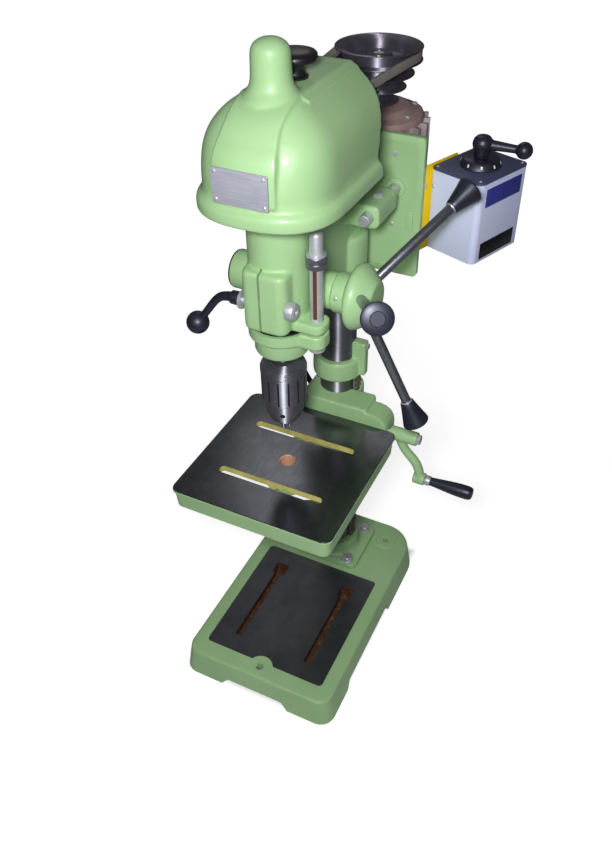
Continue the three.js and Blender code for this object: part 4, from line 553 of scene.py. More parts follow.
def makeColumn():
    c = column
    bar = lathe([(0, c["low"]), (c["radius"], c["low"]), (c["radius"], c["high"] - c["edge"]),
                 (c["radius"] - c["edge"], c["high"]), (0, c["high"])])
    piece(bar, "column_bar", "frame", "columnSteel", ["column"])
    low, z = c["collarLow"], c["boltZ"]
    ring = lathe([(0, low), (37, low), (39, 459.6), (39.4, 472), (38.6, 486), (36.8, 490), (0, 490)])
    lug = roundedBrick((24, 48), span(8.5), (461, 520), 4, edge=1.5)
    body = castOver(merged(ring, lug), 1.2, 5)
    body = carve(body, drum(columnBore, 440, 540), rod((20, 0, z), (60, 0, z), c["boltHole"]))
    piece(body, "stop_collar", "frame", "greenEnamel", ["column_collar"], 35)
    bolt = merged(rod((28.6, 0, z), (49, 0, z), 3), hexHead((48.3, 0, z), (1, 0, 0), 5.4, 2.7))
    piece(bolt, "collar_bolt", "frame", "brightSteel", ["collar_screw"])


# the table's bracket: heights of its parts, and the (y, z) axes of its crank and of its clamp
support = {"low": 338, "high": 430, "radius": 42, "seat": 384.6, "armLow": 352, "armEnd": 366,
           "crankAxis": (-39, 394), "crankBore": 6.4, "clampAxis": (14, 392), "clampBore": 5.3,
           "gearBore": 5.4}


def makeTableSupport():
    t = support
    low, high, r, seat = t["low"], t["high"], t["radius"], t["seat"]
    crankY, crankZ = t["crankAxis"]
    clampY, clampZ = t["clampAxis"]
    ring = lathe([(0, low), (r - 1.5, low), (r, low + 2), (r, high - 2), (r - 1.5, high), (0, high)])
    block = roundedBrick((-42, 70), (-51, -4), (350, high), 6, edge=2)
    caseOutline = [(50, 352), (105, 352), (105, 401), (103.2, 410.2), (98, 418), (90.2, 423.2), (81, 425),
                   (50, 425)]
    case = plate([(x, -51, z) for x, z in caseOutline], (0, 37, 0))
    arm = skin([[(half, y, z), (half, y, seat), (-half, y, seat), (-half, y, z)]
                for half, y, z in ((34, -30, t["armLow"]), (24, -reach, t["armEnd"]))])
    body = castOver(merged(ring, block, case, arm, drum(32, t["armEnd"], seat, spindleAxis)), 1.8, 5)
    body = carve(body, brick(span(120), (-250, -56), (seat, 420)),
                 drum(columnBore, 300, 470),
                 brick((0, 38), span(8), (320, 450)),
                 drum(12, 340, 420, spindleAxis),
                 rod((60, crankY, crankZ), (120, crankY, crankZ), t["crankBore"]),
                 rod((47, -60, 363), (47, -40, 363), t["gearBore"]),
                 rod((-60, clampY, clampZ), (-24, clampY, clampZ), t["clampBore"]))
    piece(body, "table_support", "table", "greenEnamel", ["table_bracket"], 38)


# the crank's arm as (x, drop below the axis, radius), and the grip's outline as (radius, x)
crank = {"drop": 78, "arm": [(124, 2, 8.5), (126, 12, 7.5), (131, 25, 7), (143, 37, 7.5), (156, 50, 7.5),
                             (161, 66, 7.5), (161, 78, 8)],
         "grip": [(0, 179.8), (6.8, 179.8), (7, 183), (7.6, 190), (8.6, 200), (9.8, 212), (10.7, 224),
                  (11, 234), (10.9, 241), (10.2, 245.5), (8.6, 248.2), (6, 249), (0, 249)]}


def makeCrank():
    y, z = support["crankAxis"]
    low = z - crank["drop"]
    hub = lathe([(0, 109), (11, 109), (11, 152), (9.5, 153), (0, 153)], (0, y, z), "X", someSides)
    arm = sweep([(x, y, z - drop) for x, drop, _ in crank["arm"]], [radius for _, _, radius in crank["arm"]])
    knuckle = lathe([(0, 152), (9, 152), (10, 153), (10, 170), (9, 171), (0, 171)], (0, y, low), "X",
                    someSides)
    body = castOver(merged(hub, arm, knuckle), 1.0, 6)
    piece(body, "crank_handle", "crank", "greenEnamel", ["crank_arm"], 40)
    nut = merged(rod((106, y, z), (156, y, z), 5.8), hexHead((153.2, y, z), (1, 0, 0), 8.2, 4.6))
    piece(nut, "crank_nut", "crank", "brightSteel")
    ferrule = lathe([(0, 171.3), (7.6, 171.3), (8, 172.5), (8, 178), (7.2, 180), (0, 180)], (0, y, low), "X",
                    someSides)
    piece(ferrule, "grip_ferrule", "crank_grip", "brightSteel")
    piece(lathe(crank["grip"], (0, y, low), "X", someSides), "grip_handle", "crank_grip", "blackPhenolic",
          ["crank_grip"], 40)


# the table, a shell under a ground top with two slots and a middle hole; rim holds (inset, height) pairs
table = {"half": 125, "corner": 14, "top": 409, "wall": 14, "underTop": 399, "slotHalfLong": 82,
         "slotHalf": 6.5, "slotAt": 56, "hole": 11, "holeMouth": 12.2,
         "rim": [(4, 377), (2.2, 402.6), (0.7, 403.8), (0, 405), (0, 406.8), (0.5, 408.2), (1.6, 409)]}


def makeTable():
    t = table
    half, slotHalf, slotAt, mouth = t["half"], t["slotHalf"], t["slotAt"], t["holeMouth"]

    def ring(inset, z):
        r = t["corner"] - inset * 0.5
        return roundedRing(span(half - inset), (-reach - half + inset, -reach + half - inset), r, r, z)

    shell = skin([ring(inset, z) for inset, z in t["rim"]])
    hollow = skin([ring(t["wall"], 376), ring(t["wall"], t["underTop"])])
    shell = carve(shell, hollow, brick(span(38), (-reach + 100, 0), (370, 385)))
    shell = carve(shell, drum(34, 385, 402, spindleAxis),
                  brick(span(5), span(114, -reach), (385.01, 402)),
                  brick(span(114), span(5, -reach), (385.02, 402)), operation="UNION")
    cutters = [roundedBrick(span(t["slotHalfLong"]),
                            (-reach + s * slotAt - slotHalf, -reach + s * slotAt + slotHalf), (370, 420),
                            6.4) for s in (-1, 1)]
    hole = [(0, 370), (t["hole"], 370), (t["hole"], 407.9), (mouth, 409.1), (mouth, 420), (0, 420)]
    cutters.append(lathe(hole, spindleAxis))
    shell = carve(shell, *cutters)

    def ground(c, n):
        return c.z > t["top"] - 0.6 and n.z > 0.6

    def slotWall(c, n):
        nearSlot = abs(abs(c.y + reach) - slotAt) < slotHalf + 0.2 and abs(c.x) < t["slotHalfLong"] + 0.2
        return 398 < c.z < 408.9 and nearSlot and abs(n.z) < 0.5

    def holeWall(c, n):
        return Vector((c.x, c.y + reach)).length < mouth + 0.1 and c.z < 408.5

    piece(shell, "work_table", "table", "greenEnamel", ["table"], 30,
          [("groundIron", ground), ("slotOlive", slotWall), ("holeIron", holeWall)])


# the lever that locks the table on the column, with a ball at its end
tableClamp = {"ball": 8, "ballAt": (-92, 42, 420), "stem": 5, "taper": [5, 4.4, 4, 3.8]}


def makeTableClamp():
    t = tableClamp
    y, z = support["clampAxis"]
    hub = lathe([(0, -58), (8, -58), (9, -57), (9, -44), (8, -43), (0, -43)], (0, y, z), "X", someSides)
    stem = rod((-56, y, z), (-28.9, y, z), t["stem"])
    arm = sweep([(-50, y, z), (-62, y + 8, z + 7), (-78, y + 18, z + 18), t["ballAt"]], t["taper"])
    body = merged(hub, stem, arm, ball(t["ball"], t["ballAt"]))
    piece(body, "clamp_handle", "table_clamp", "blackForging", ["table_clamp_lever"], 40)


# the head casting: quill tube, web, column tube with its round top, bosses and the depth rod's ear
head = {"tube": 38, "low": 658, "plateLow": 807, "plateHigh": 814.7, "plateHalf": 72, "plateFront": -251,
        "plateRear": -70, "columnTube": 40, "columnLow": 600, "columnHigh": 700, "webHalf": 25, "webRear": 24,
        "webLow": 640, "feedBoss": 24, "feedRight": 60, "feedY": -140, "feedZ": 688, "feedBore": 8.4,
        "lockY": -219, "lockZ": 697, "lockBore": 5.3, "barX": 58, "barZ": 745, "barBoss": 16, "barFront": -42,
        "barRear": 24, "barBore": 8.4, "rodX": 53, "rodY": -186}
# the flat ears that the depth rod passes through, on the head and on the quill's collar
ear = {"end": 68, "front": -205, "rear": -170, "corner": 13, "headLow": 658, "headHigh": 672,
       "collarLow": 636, "collarHigh": 655, "bore": 8.9}


hoodBend = -176  # where the straight sides of the hood and its deck end and their rounded front starts


def hoodRing(half, front, rear, z, steps=40, power=2.5):
    depth, middle = hoodBend - front, (rear + hoodBend) / 2
    points = [(half, rear, z), (half, middle, z)]
    for i in range(steps + 1):
        c, s = math.cos(math.pi * i / steps), math.sin(math.pi * i / steps)
        across, forward = math.copysign(abs(c) ** (2 / power), c), abs(s) ** (2 / power)
        points.append((half * across, hoodBend - depth * forward, z))
    return points + [(-half, middle, z), (-half, rear, z)]


def makeHead():
    h = head
    low, top, r, c, b = h["low"], h["plateHigh"], h["tube"], h["columnTube"], h["barBoss"]
    deckLow, tubeTop, rear = h["plateLow"], h["columnHigh"], h["plateRear"]
    tube = lathe([(0, low), (r - 1.5, low), (r, low + 2), (r, deckLow - 1), (0, deckLow - 1)], spindleAxis)
    sleeve = lathe([(0, h["columnLow"]), (c - 1.5, h["columnLow"]), (c, h["columnLow"] + 2), (c, tubeTop - 6),
                    (c - 1.5, tubeTop - 2.5), (c - 5, tubeTop), (0, tubeTop)])
    half, front = h["plateHalf"], h["plateFront"]
    deck = skin([hoodRing(half - 8, front + 8, rear, deckLow), hoodRing(half, front, rear, deckLow + 4),
                 hoodRing(half, front, rear, top)])
    web = brick(span(h["webHalf"]), (-134, h["webRear"]), (h["webLow"], top - 2))
    neck = brick(span(h["webHalf"]), (-reach, -100), (low + 2, top - 2))
    clamp = roundedBrick(span(30), (-228, -170), (low + 2, 742), 12, edge=5, segments=4)
    feedBoss = drum(h["feedBoss"], -h["feedRight"], h["feedRight"], (0, h["feedY"], h["feedZ"]), "X")
    bars = [uprightBrick((s * h["barX"] - b, s * h["barX"] + b), (h["barFront"], h["barRear"]),
                         (h["barZ"] - b, h["barZ"] + b), 9, 2) for s in (-1, 1)]
    arms = brick(span(h["barX"]), (h["barFront"], h["barRear"]), (h["barZ"] - b, h["barZ"] + b))
    lug = roundedBrick((0, ear["end"]), (ear["front"], ear["rear"]), (ear["headLow"], ear["headHigh"]),
                       ear["corner"], edge=1.5)
    body = castOver(merged(tube, sleeve, deck, web, neck, clamp, feedBoss, *bars, arms, lug), 1.7, 9)
    cutters = [drum(quillBore, 580, 830, spindleAxis),
               drum(columnBore, 560, 699),
               brick((-5, -2), (-236, -190), (650, 745)),
               rod((-40, h["lockY"], h["lockZ"]), (40, h["lockY"], h["lockZ"]), h["lockBore"]),
               rod((-64, h["feedY"], h["feedZ"]), (64, h["feedY"], h["feedZ"]), h["feedBore"]),
               brick(span(120), (-300, 60), (top, 840)),
               rod((h["rodX"], h["rodY"], 640), (h["rodX"], h["rodY"], 690), ear["bore"])]
    cutters += [rod((s * h["barX"], -60, h["barZ"]), (s * h["barX"], 40, h["barZ"]), h["barBore"])
                for s in (-1, 1)]
    piece(carve(body, *cutters), "head_body", "frame", "greenEnamel", ["head_casting"], 40)
    for s, side in ((-1, "left"), (1, "right")):
        x, z = s * h["barX"], h["barZ"] + b
        bolt = merged(hexHead((x, -8, z), (0, 0, 1), 7, 5.5, 0.4), rod((x, -8, z - 5), (x, -8, z + 1), 4))
        piece(bolt, "bar_lock_" + side, "frame", "brightSteel")
    piece(screwHead((24, -214.5, 728), (0.45, -0.85, 0.1), 2.6, 1.6), "head_set_screw", "frame",
          "brightSteel")


# the collar that clamps the depth rod's ear on the quill, and the ring at the quill's nose
quillRing = {"radius": 43, "grooveIn": 37.6, "grooveOut": 43.6, "grooveDeep": 3, "slitHalf": 8.8}


def makeQuill():
    q = quillRing
    low, high, r = ear["collarLow"], ear["collarHigh"], q["radius"]
    ring = lathe([(0, low), (r - 1.5, low), (r, low + 2), (r, high - 2), (r - 1.5, high), (0, high)],
                 spindleAxis)
    lug = roundedBrick((0, ear["end"]), (ear["front"], ear["rear"]), (low, high), ear["corner"], edge=1.5)
    body = castOver(merged(ring, lug), 1.3, 5)
    floor, inner, outer = high - q["grooveDeep"], q["grooveIn"], q["grooveOut"]
    body = carve(body, drum(quillBore, 600, 700, spindleAxis),
                 rod((head["rodX"], head["rodY"], 620), (head["rodX"], head["rodY"], 670), ear["bore"]),
                 brick(span(q["slitHalf"]), (-170, -149), (620, 680)),
                 lathe([(inner, floor), (outer, floor), (outer, high + 2), (inner, high + 2), (inner, floor)],
                       spindleAxis))

    # the ring's top next to the quill is painted black: a painted shade for the dark seam under the head
    def seamShade(c, n):
        return c.z > high - 3.2 and 30 < math.hypot(c.x, c.y + reach) < 38.4

    piece(body, "quill_clamp", "quill", "greenEnamel", ["quill_collar"], 38,
          [("blackForging", seamShade)])
    endRing = lathe([(15, 611), (31.5, 611), (34.5, 612.6), (36, 616), (36, 633), (35, 634), (22.4, 634),
                     (22.4, 618), (15, 618)], spindleAxis)
    piece(endRing, "nose_ring", "quill", "greenEnamel", ["quill_end_ring"], 38)


# the chuck: its outline as (radius, height), key holes, jaws and fluted sleeve
chuck = {"outline": [(0, 490), (12.4, 490), (13.6, 490.4), (17.4, 493.6), (20.8, 498), (23.8, 503.6),
                     (25.8, 510), (26.5, 517), (26.5, 530.5), (24, 530.5), (24, 576.5), (30.4, 576.5),
                     (31.6, 577.6), (31.6, 583), (30.8, 583.8), (30.8, 584.6), (30.5, 585), (30.5, 586),
                     (29.8, 587.2), (28, 588), (17.6, 592), (17, 592), (0, 592)],
         "taper": 8.3, "mouth": 8, "keyHole": 3.6, "keyZ": 514, "keyTurn": 0.35, "jaw": 3.8, "jawTip": 1.8,
         "jawBore": 4.2, "jawStart": 4.7, "jawLow": 475, "jawLean": 10, "sleeve": 31.2, "flutes": 14,
         "fluteAt": 31.4, "flute": 1.3, "fluteLow": 534, "fluteHigh": 573}


def jawAxis(i, grow):
    # a point on a jaw's sloping axis, grow mm above its tip
    r = chuck["jawStart"] + grow * math.tan(math.radians(chuck["jawLean"]))
    return (*polar(r, 2 * math.pi * i / 3 + math.pi / 6, 0, -reach), chuck["jawLow"] + grow)


def makeSpindle():
    c = chuck
    shaft = lathe([(0, 574), (8, 574), (8, 604.8), (13.5, 605), (13.5, 614), (12, 615), (12, 953), (10, 955),
                   (0, 955)], spindleAxis, steps=someSides)
    piece(shaft, "spindle_shaft", "spindle", "chuckSteel", ["spindle"])
    cutters = [drum(c["taper"], 560, 620, spindleAxis, steps=someSides),
               drum(c["mouth"], 480, 497, spindleAxis, steps=someSides)]
    for i in range(3):
        a = 2 * math.pi * i / 3 - math.pi / 2 + c["keyTurn"]
        cutters.append(rod((*polar(15, a, 0, -reach), c["keyZ"]), (*polar(40, a, 0, -reach), c["keyZ"]),
                           c["keyHole"]))
        cutters.append(rod(jawAxis(i, 0), jawAxis(i, 76), c["jawBore"]))
    piece(carve(lathe(c["outline"], spindleAxis), *cutters), "chuck_core", "spindle", "chuckSteel",
          ["chuck_body"], 30)
    for i in range(3):
        jaw = merged(rod(jawAxis(i, 0), jawAxis(i, 9), c["jawTip"], c["jaw"]),
                     rod(jawAxis(i, 8.95), jawAxis(i, 54), c["jaw"]))
        piece(jaw, "grip_jaw_%d" % (i + 1), "jaw_%d" % (i + 1), "chuckSteel", ["chuck_jaw_%d" % (i + 1)])
    r = c["sleeve"]
    sleeve = lathe([(24.4, 531), (30, 531), (r, 532.4), (r, 575), (30.2, 576.2), (24.4, 576.2)], spindleAxis,
                   steps=168)
    flutes = []
    for i in range(c["flutes"]):
        x, y = polar(c["fluteAt"], 2 * math.pi * i / c["flutes"], 0, -reach)
        flutes.append(rod((x, y, c["fluteLow"]), (x, y, c["fluteHigh"]), c["flute"], steps=24))

    # the flutes' walls are painted black: painted shade in the grooves of the steel sleeve
    def fluteShade(p, n):
        deep = 29 < math.hypot(p.x, p.y + reach) < r - 0.1
        return deep and c["fluteLow"] + 0.5 < p.z < c["fluteHigh"] - 0.5

    piece(carve(sleeve, merged(*flutes)), "fluted_sleeve", "chuck_sleeve", "chuckSteel", ["chuck_sleeve"],
          30, [("blackForging", fluteShade)])


# the depth rod with a scale let into a flat of it, and its two knurled nuts
depthRod = {"rod": 8.5, "foot": 11, "low": 626, "footHigh": 635.7, "high": 770, "cap": 8, "capHigh": 790,
            "nut": 13, "nutLow": 745, "nutHigh": 7.5, "nutStep": 8, "ridges": 36, "ridgeCut": 0.95,
            "scaleTurn": 12, "scaleLow": 676, "scaleHigh": 744, "scaleHalf": 2.5, "flatHalf": 4,
            "flatDeep": 0.5, "stripDeep": (0.15, 1.2), "tickDeep": (0.04, 0.3), "tickStep": 2.4,
            "tickHigh": 0.9}


def makeDepthStop():
    d = depthRod
    x, y, r, f, cap = head["rodX"], head["rodY"], d["rod"], d["foot"], d["cap"]
    capHigh, low, high, half = d["capHigh"], d["scaleLow"], d["scaleHigh"], d["scaleHalf"]
    post = lathe([(0, d["low"]), (f - 1.5, d["low"]), (f, d["low"] + 1.5), (f, d["footHigh"]),
                  (r, d["footHigh"]), (r, d["high"] - 1), (cap, d["high"] + 0.6), (cap, capHigh - 4),
                  (cap - 1.2, capHigh - 1.4), (cap - 3.2, capHigh), (0, capHigh)], (x, y, 0), steps=someSides)
    turn = Matrix.Translation((x, y, 0)) @ Matrix.Rotation(math.radians(d["scaleTurn"]), 4, "Z")
    flat = moved(brick(span(d["flatHalf"]), (-r - 1, -r + d["flatDeep"]), (low - 1, high + 1)), turn)
    piece(carve(post, flat), "stop_post", "quill", "brightSteel", ["depth_rod"])
    strip = brick(span(half), [-r + deep for deep in d["stripDeep"]], (low, high))
    piece(moved(strip, turn), "scale_strip", "quill", "brassStrip")
    ticks = []
    for i in range(int((high - low - 2) / d["tickStep"])):
        z = low + 1.5 + i * d["tickStep"]
        end = half - (0.4 if i % 5 == 0 else 1.6)  # every fifth tick is longer
        ticks.append(brick((-half + 0.4, end), [-r + deep for deep in d["tickDeep"]], (z, z + d["tickHigh"])))
    piece(moved(merged(*ticks), turn), "scale_ticks", "quill", "darkMark")
    n = d["nut"]
    for i, name in enumerate(("depth_nut_lower", "depth_nut_upper")):
        low = d["nutLow"] + i * d["nutStep"]
        high = low + d["nutHigh"]
        rim, bore = n - 0.8, r + 0.4
        nut = lathe([(bore, low), (rim, low), (n, low + 1), (n, high - 1), (rim, high), (bore, high)],
                    (x, y, 0))
        cuts = []
        for k in range(d["ridges"]):
            at = polar(n + 0.6, 2 * math.pi * k / d["ridges"], x, y)
            cuts.append(rod((*at, low - 1), (*at, high + 1), d["ridgeCut"], steps=8))
        piece(carve(nut, merged(*cuts)), "knurled_nut_%d" % (i + 1), "depth_nuts", "barSteel", [name],
              30)
    top = high + 0.05
    washer = lathe([(r + 0.3, top), (n - 1, top), (n - 1.4, high + 1.8), (r + 0.3, high + 1.8)], (x, y, 0),
                   steps=someSides)
    piece(washer, "nut_face", "depth_nuts", "brightSteel")


# the screw through the head's clamp and the lever on its left end
quillLock = {"ball": 15, "ballAt": (-99, -223, 648), "washer": 12, "taper": [6.6, 6.2, 5.6, 5.2, 5, 4.8]}


def makeQuillLock():
    q = quillLock
    y, z = head["lockY"], head["lockZ"]
    screw = lathe([(0, -44), (5, -44), (5, 30.3), (11.5, 30.3), (11.5, 37.4), (10.4, 40.2), (7.8, 42),
                   (3.8, 42), (3.8, 40), (0, 40)], (0, y, z), "X", someSides)
    piece(screw, "lock_screw", "quill_lock", "brightSteel", ["quill_lock_screw"], 30)
    washer = lathe([(5.4, -30.3), (q["washer"], -30.3), (q["washer"], -33.2), (5.4, -33.2)], (0, y, z), "X",
                   someSides)
    piece(washer, "lock_washer", "quill_lock", "brightSteel")
    hub = lathe([(0, -48), (6.5, -48), (8.6, -46), (8.9, -36), (8.2, -33.4), (0, -33.4)], (0, y, z), "X",
                someSides)
    arm = sweep([(-40, y, z), (-52, y, z), (-63, y, z - 2), (-74, y - 1, z - 14), (-86, y - 2, z - 32),
                 q["ballAt"]], q["taper"])
    body = merged(hub, arm, ball(q["ball"], q["ballAt"], someSides))
    piece(body, "lock_handle", "quill_lock", "blackPhenolic", ["quill_lock_lever"], 40)


# the feed hub, its three arms and their grips
feedPart = {"firstAngle": 32.4, "rootX": 93, "rootRadius": 10, "tipX": 177, "tipRadius": 182, "arm": 6.5,
            "knobLength": 38, "barEnd": 12, "screwTurn": 168, "screwAt": 26, "capShadeEnd": -79}
# radius and x of each point of the hub's outline, from its neck to its right face
hubBell = [(24.4, 60.3), (26, 62), (26, 77.4), (27.6, 79), (32, 80.6), (37.4, 82.2), (40.8, 84.4),
           (42.4, 87.6), (42.4, 91), (41, 95), (38, 99.6), (34, 104), (30, 108), (27, 110.8), (25.4, 112.6),
           (23.4, 113.9), (22, 114)]
# radius and length along the arm of each point of a grip's outline
gripPear = [(0, 0), (8.6, 0), (9.2, 1), (10.4, 6), (13, 16), (15.8, 26), (17.6, 32), (18, 34), (17.2, 36),
            (14.5, 37.3), (8.4, 37.9), (7.6, 37.2), (0, 37.2)]


def armPoint(i, share):
    f = feedPart
    r = f["rootRadius"] + (f["tipRadius"] - f["rootRadius"]) * share
    return (f["rootX"] + (f["tipX"] - f["rootX"]) * share,
            *polar(r, math.radians(f["firstAngle"] + 120 * i), head["feedY"], head["feedZ"]))


def makeFeed():
    y, z = head["feedY"], head["feedZ"]
    f = feedPart
    hub = lathe([(0, hubBell[0][1])] + hubBell + [(0, hubBell[-1][1])], (0, y, z), "X")
    piece(hub, "feed_boss", "feed", "greenEnamel", ["feed_hub"], 40)
    length = math.hypot(f["tipX"] - f["rootX"], f["tipRadius"] - f["rootRadius"])
    neck = 1 - f["knobLength"] / length
    for i in range(3):
        bar = rod(armPoint(i, 0.06), armPoint(i, neck + f["barEnd"] / length), f["arm"], edge=0.6)
        piece(bar, "feed_bar_%d" % (i + 1), "feed", "barSteel", ["feed_arm_%d" % (i + 1)])
        start, end = Vector(armPoint(i, neck)), Vector(armPoint(i, 1))
        turn = facing(start, end - start)
        piece(moved(lathe(gripPear), turn), "feed_grip_%d" % (i + 1), "feed", "blackPhenolic",
              ["feed_knob_%d" % (i + 1)], 30)
        band = lathe([(6.6, -1.2), (7.6, -1.2), (8, 0.1), (6.6, 0.1)], steps=someSides)
        piece(moved(band, turn), "grip_band_%d" % (i + 1), "feed", "brightSteel")
    a = math.radians(f["screwTurn"])
    screw = screwHead((68.5, *polar(f["screwAt"], a, y, z)), (0, math.cos(a), math.sin(a)), 2.6, 1.0)
    piece(screw, "hub_screw", "feed", "brightSteel")
    # the spring's housing is green; its outer end is painted black, a painted shadow outline round its rim
    cap = lathe([(0, -86), (22, -86), (25, -84.6), (26, -82), (26, -60.3), (23, -60.3), (23, -80), (0, -80)],
                (0, y, z), "X")
    piece(cap, "spring_housing", "frame", "blackForging", ["spring_cap"], 35,
          [("greenEnamel", lambda c, n: c.x > f["capShadeEnd"])])


# four step cone pulleys, the spindle's widest at the foot and the motor's at the top
pulley = {"low": 838, "step": 18, "radii": [60, 50, 40, 30], "deep": 10}


def pulleySteps(radii):
    out = []
    for i, r in enumerate(radii):
        z, inner = pulley["low"] + i * pulley["step"], r - pulley["deep"]
        out += [(r - 0.8, z), (r, z + 0.6), (r, z + 1.2), (inner, z + 2.8), (inner, z + 15.2), (r, z + 16.8),
                (r, z + 17.4), (r - 0.8, z + 18)]
    return out


def makePulleys():
    low, radii = pulley["low"], pulley["radii"]
    cone = [(12.4, 786), (17, 786), (17, low)] + pulleySteps(radii) + [(12.4, 910)]
    piece(lathe(cone, spindleAxis), "quill_pulley", "spindle_pulley", "pulleySteel", ["spindle_pulley"],
          30)
    cone = [(8.4, low)] + pulleySteps(radii[::-1]) + [
        (54, 910), (51.4, 909.2), (46.6, 907), (43.4, 904), (41.4, 899), (39.6, 895), (37, 893), (22, 893),
        (19.4, 894.4), (17.8, 899.4), (16.6, 901), (8.4, 901)]
    piece(lathe(cone, motorAxis), "drive_pulley", "motor_rotor", "pulleySteel", ["motor_pulley"],
          30)
    shaft = lathe([(0, 822), (8, 822), (8, 899), (7, 900), (0, 900)], motorAxis, steps=someSides)
    piece(shaft, "motor_spindle", "motor_rotor", "brightSteel", ["motor_shaft"])


# the V-belt on the pulleys' top steps; section holds (radius on the spindle, height) of its corners
belt = {"grow": 30, "section": [(28.4, 895.2), (28.4, 906.8), (20.4, 904.2), (20.4, 897.8)], "edge": 0.5}


def beltLoop(radius, z):
    motorY = motorAxis[1]
    lean = math.asin(belt["grow"] / (motorY + reach))
    wide, narrow = math.pi + 2 * lean, math.pi - 2 * lean
    rear = [(*polar(radius + belt["grow"], -lean + wide * i / 32, 0, motorY), z) for i in range(33)]
    return rear + [(*polar(radius, math.pi + lean + narrow * i / 24, 0, -reach), z) for i in range(25)]


def makeBelt():
    loop = soften(skin([beltLoop(radius, z) for radius, z in belt["section"]], closed=True), belt["edge"],
                  angle=30)
    piece(loop, "v_belt", "frame", "beltFabric", ["drive_belt"], 30)


# the motor: its fins, the flat at its front, its end bolts and its casting's outline as (radius, height)
motor = {"fins": 20, "finOut": 76, "finIn": 63.6, "finShare": 0.2, "gapShare": 0.76, "finLow": 702,
         "finLong": 114, "flatY": 68.3, "boltRing": 56, "boltZ": 826.6, "boltTurns": (-20, 40, 100, 160, 220),
         "outline": [(0, 688), (36, 688), (42, 689), (60, 692), (65, 696), (66, 702), (66, 702.1),
                     (63, 702.2), (63, 815.8), (66, 815.9), (67, 816), (67, 820), (65, 824), (58, 827),
                     (50, 829), (47, 832), (42, 833.4), (34, 834), (12, 834), (11, 833), (0, 833)]}


def makeMotor():
    m = motor
    motorY = motorAxis[1]
    finOutline = []
    for i in range(2 * m["fins"]):
        mid = math.pi * i / m["fins"]
        share, r = (m["gapShare"], m["finIn"]) if i % 2 else (m["finShare"], m["finOut"])
        half = math.pi / m["fins"] * share
        finOutline += [(*polar(r, a, 0, motorY), m["finLow"]) for a in (mid - half, mid + half)]
    fins = plate(finOutline, (0, 0, m["finLong"]))
    body = carve(lathe(m["outline"], motorAxis), fins, operation="UNION")
    body = carve(body, brick(span(100), (0, m["flatY"]), (600, 900)),
                 rod((0, motorY, 815), (0, motorY, 850), 8.4))

    # the outer faces of the right-hand fins, towards the lamp, get the pale metal: bare aluminium and a
    # painted highlight
    def litFinFace(c, n):
        return m["finLow"] + 1 < c.z < 815 and math.hypot(c.x, c.y - motorY) > 63.2 and c.x > 0

    piece(body, "motor_body", "motor_base", "motorPaint", ["motor_casing"], 32,
          [("finMetal", litFinFace)])
    bolts = [hexHead((*polar(m["boltRing"], math.radians(turn), 0, motorY), m["boltZ"]), (0, 0, 1), 4, 3.2)
             for turn in m["boltTurns"]]
    piece(merged(*bolts), "motor_bolts", "motor_base", "brightSteel")


# the plate that carries the motor on two bars in the head
mount = {"half": 97, "low": 613, "high": 820, "corner": 7, "rim": 9, "padFace": 14, "bar": 8,
         "screws": (54, 60.5, (792, 690))}


def makeMotorPlate():
    m = mount
    half, low, high, rim, r, z = m["half"], m["low"], m["high"], m["rim"], m["bar"], head["barZ"]
    slab = uprightBrick(span(half), (58, 68), (low, high), m["corner"], 1.6)
    sink = uprightBrick(span(half - rim), (50, 60.5), (low + rim, high - rim), m["corner"] - 1, 0.9)
    pad = m["padFace"]
    padOutline = [(0, 58.2), (pad - 0.6, 58.2), (pad, 59), (pad, 66), (0, 66)]
    pads = [lathe(padOutline, (s * head["barX"], 0, z), "Y", someSides) for s in (-1, 1)]
    tab = uprightBrick((76, 86), (58.4, 66), (686, 710), 2.5, 0.8)
    body = carve(carve(slab, sink), *pads, tab, operation="UNION")
    piece(body, "motor_mount", "motor_base", "greenEnamel", ["motor_plate"], 32)
    for i, s in enumerate((-1, 1)):
        bar = lathe([(0, -56), (r - 1, -56), (r, -55), (r, 57.7), (0, 57.7)], (s * head["barX"], 0, z), "Y",
                    someSides)
        piece(bar, "slide_bar_%d" % (i + 1), "motor_base", "brightSteel", ["motor_bar_%d" % (i + 1)])
    x, y, heights = m["screws"]
    screws = [screwHead((s * x, y, height), (0, -1, 0), 3.6, 1.8) for s in (1, -1) for height in heights]
    piece(merged(*screws), "mount_screws", "motor_base", "brightSteel")


# height, half width and front edge of each slice through the hood, and of each ring of its lip
slices = [(838, 80, -255), (860, 80, -254), (885, 77, -248), (904, 69, -238), (919, 56, -223),
          (929, 42, -206), (934, 30, -190)]
lipRings = [(815, 86.5, -261.5), (816.2, 87.6, -262.6), (817.6, 88, -263), (826, 88, -263),
            (829.4, 87.5, -262.5), (832.4, 86, -261), (834.8, 83.6, -258.6), (836.8, 81.4, -256.4)]
hoodPart = {"low": 838, "high": 934, "rearLow": -70, "rearHigh": -40, "band": 33, "bandRise": 3.4,
            "bandLow": 38.5, "bandFront": -259, "bandStay": 858, "stepHalf": 42, "plateHalf": 34,
            "plateLow": 841, "plateHigh": 881, "plateThick": 1.5, "rivetIn": 4.5, "wall": 5, "mouthHalf": 64,
            "mouthFront": -244, "mouthHigh": 819, "cavityTop": 927, "knobZ": 938, "knobY": -128}
# radius and height of the chimney over the spindle, and of the knob above its own foot
chimneyOutline = [(0, 925), (36, 928), (34, 932), (31.4, 936), (28, 939.6), (25.4, 943), (23.6, 947.4),
                  (22.6, 953), (22.1, 962), (21.7, 975), (21.2, 979.4), (20, 983), (17.8, 986), (14.4, 988.6),
                  (9.6, 990.8), (4.6, 991.8), (0, 992)]
knobOutline = [(0, 0), (16, 0), (16, 2), (13.4, 4), (12.6, 7), (12.8, 13), (15, 16), (23, 17.4), (25.8, 18.8),
               (26.5, 21), (26.2, 24.6), (24.4, 26.6), (16, 28.8), (7, 29.8), (0, 30)]


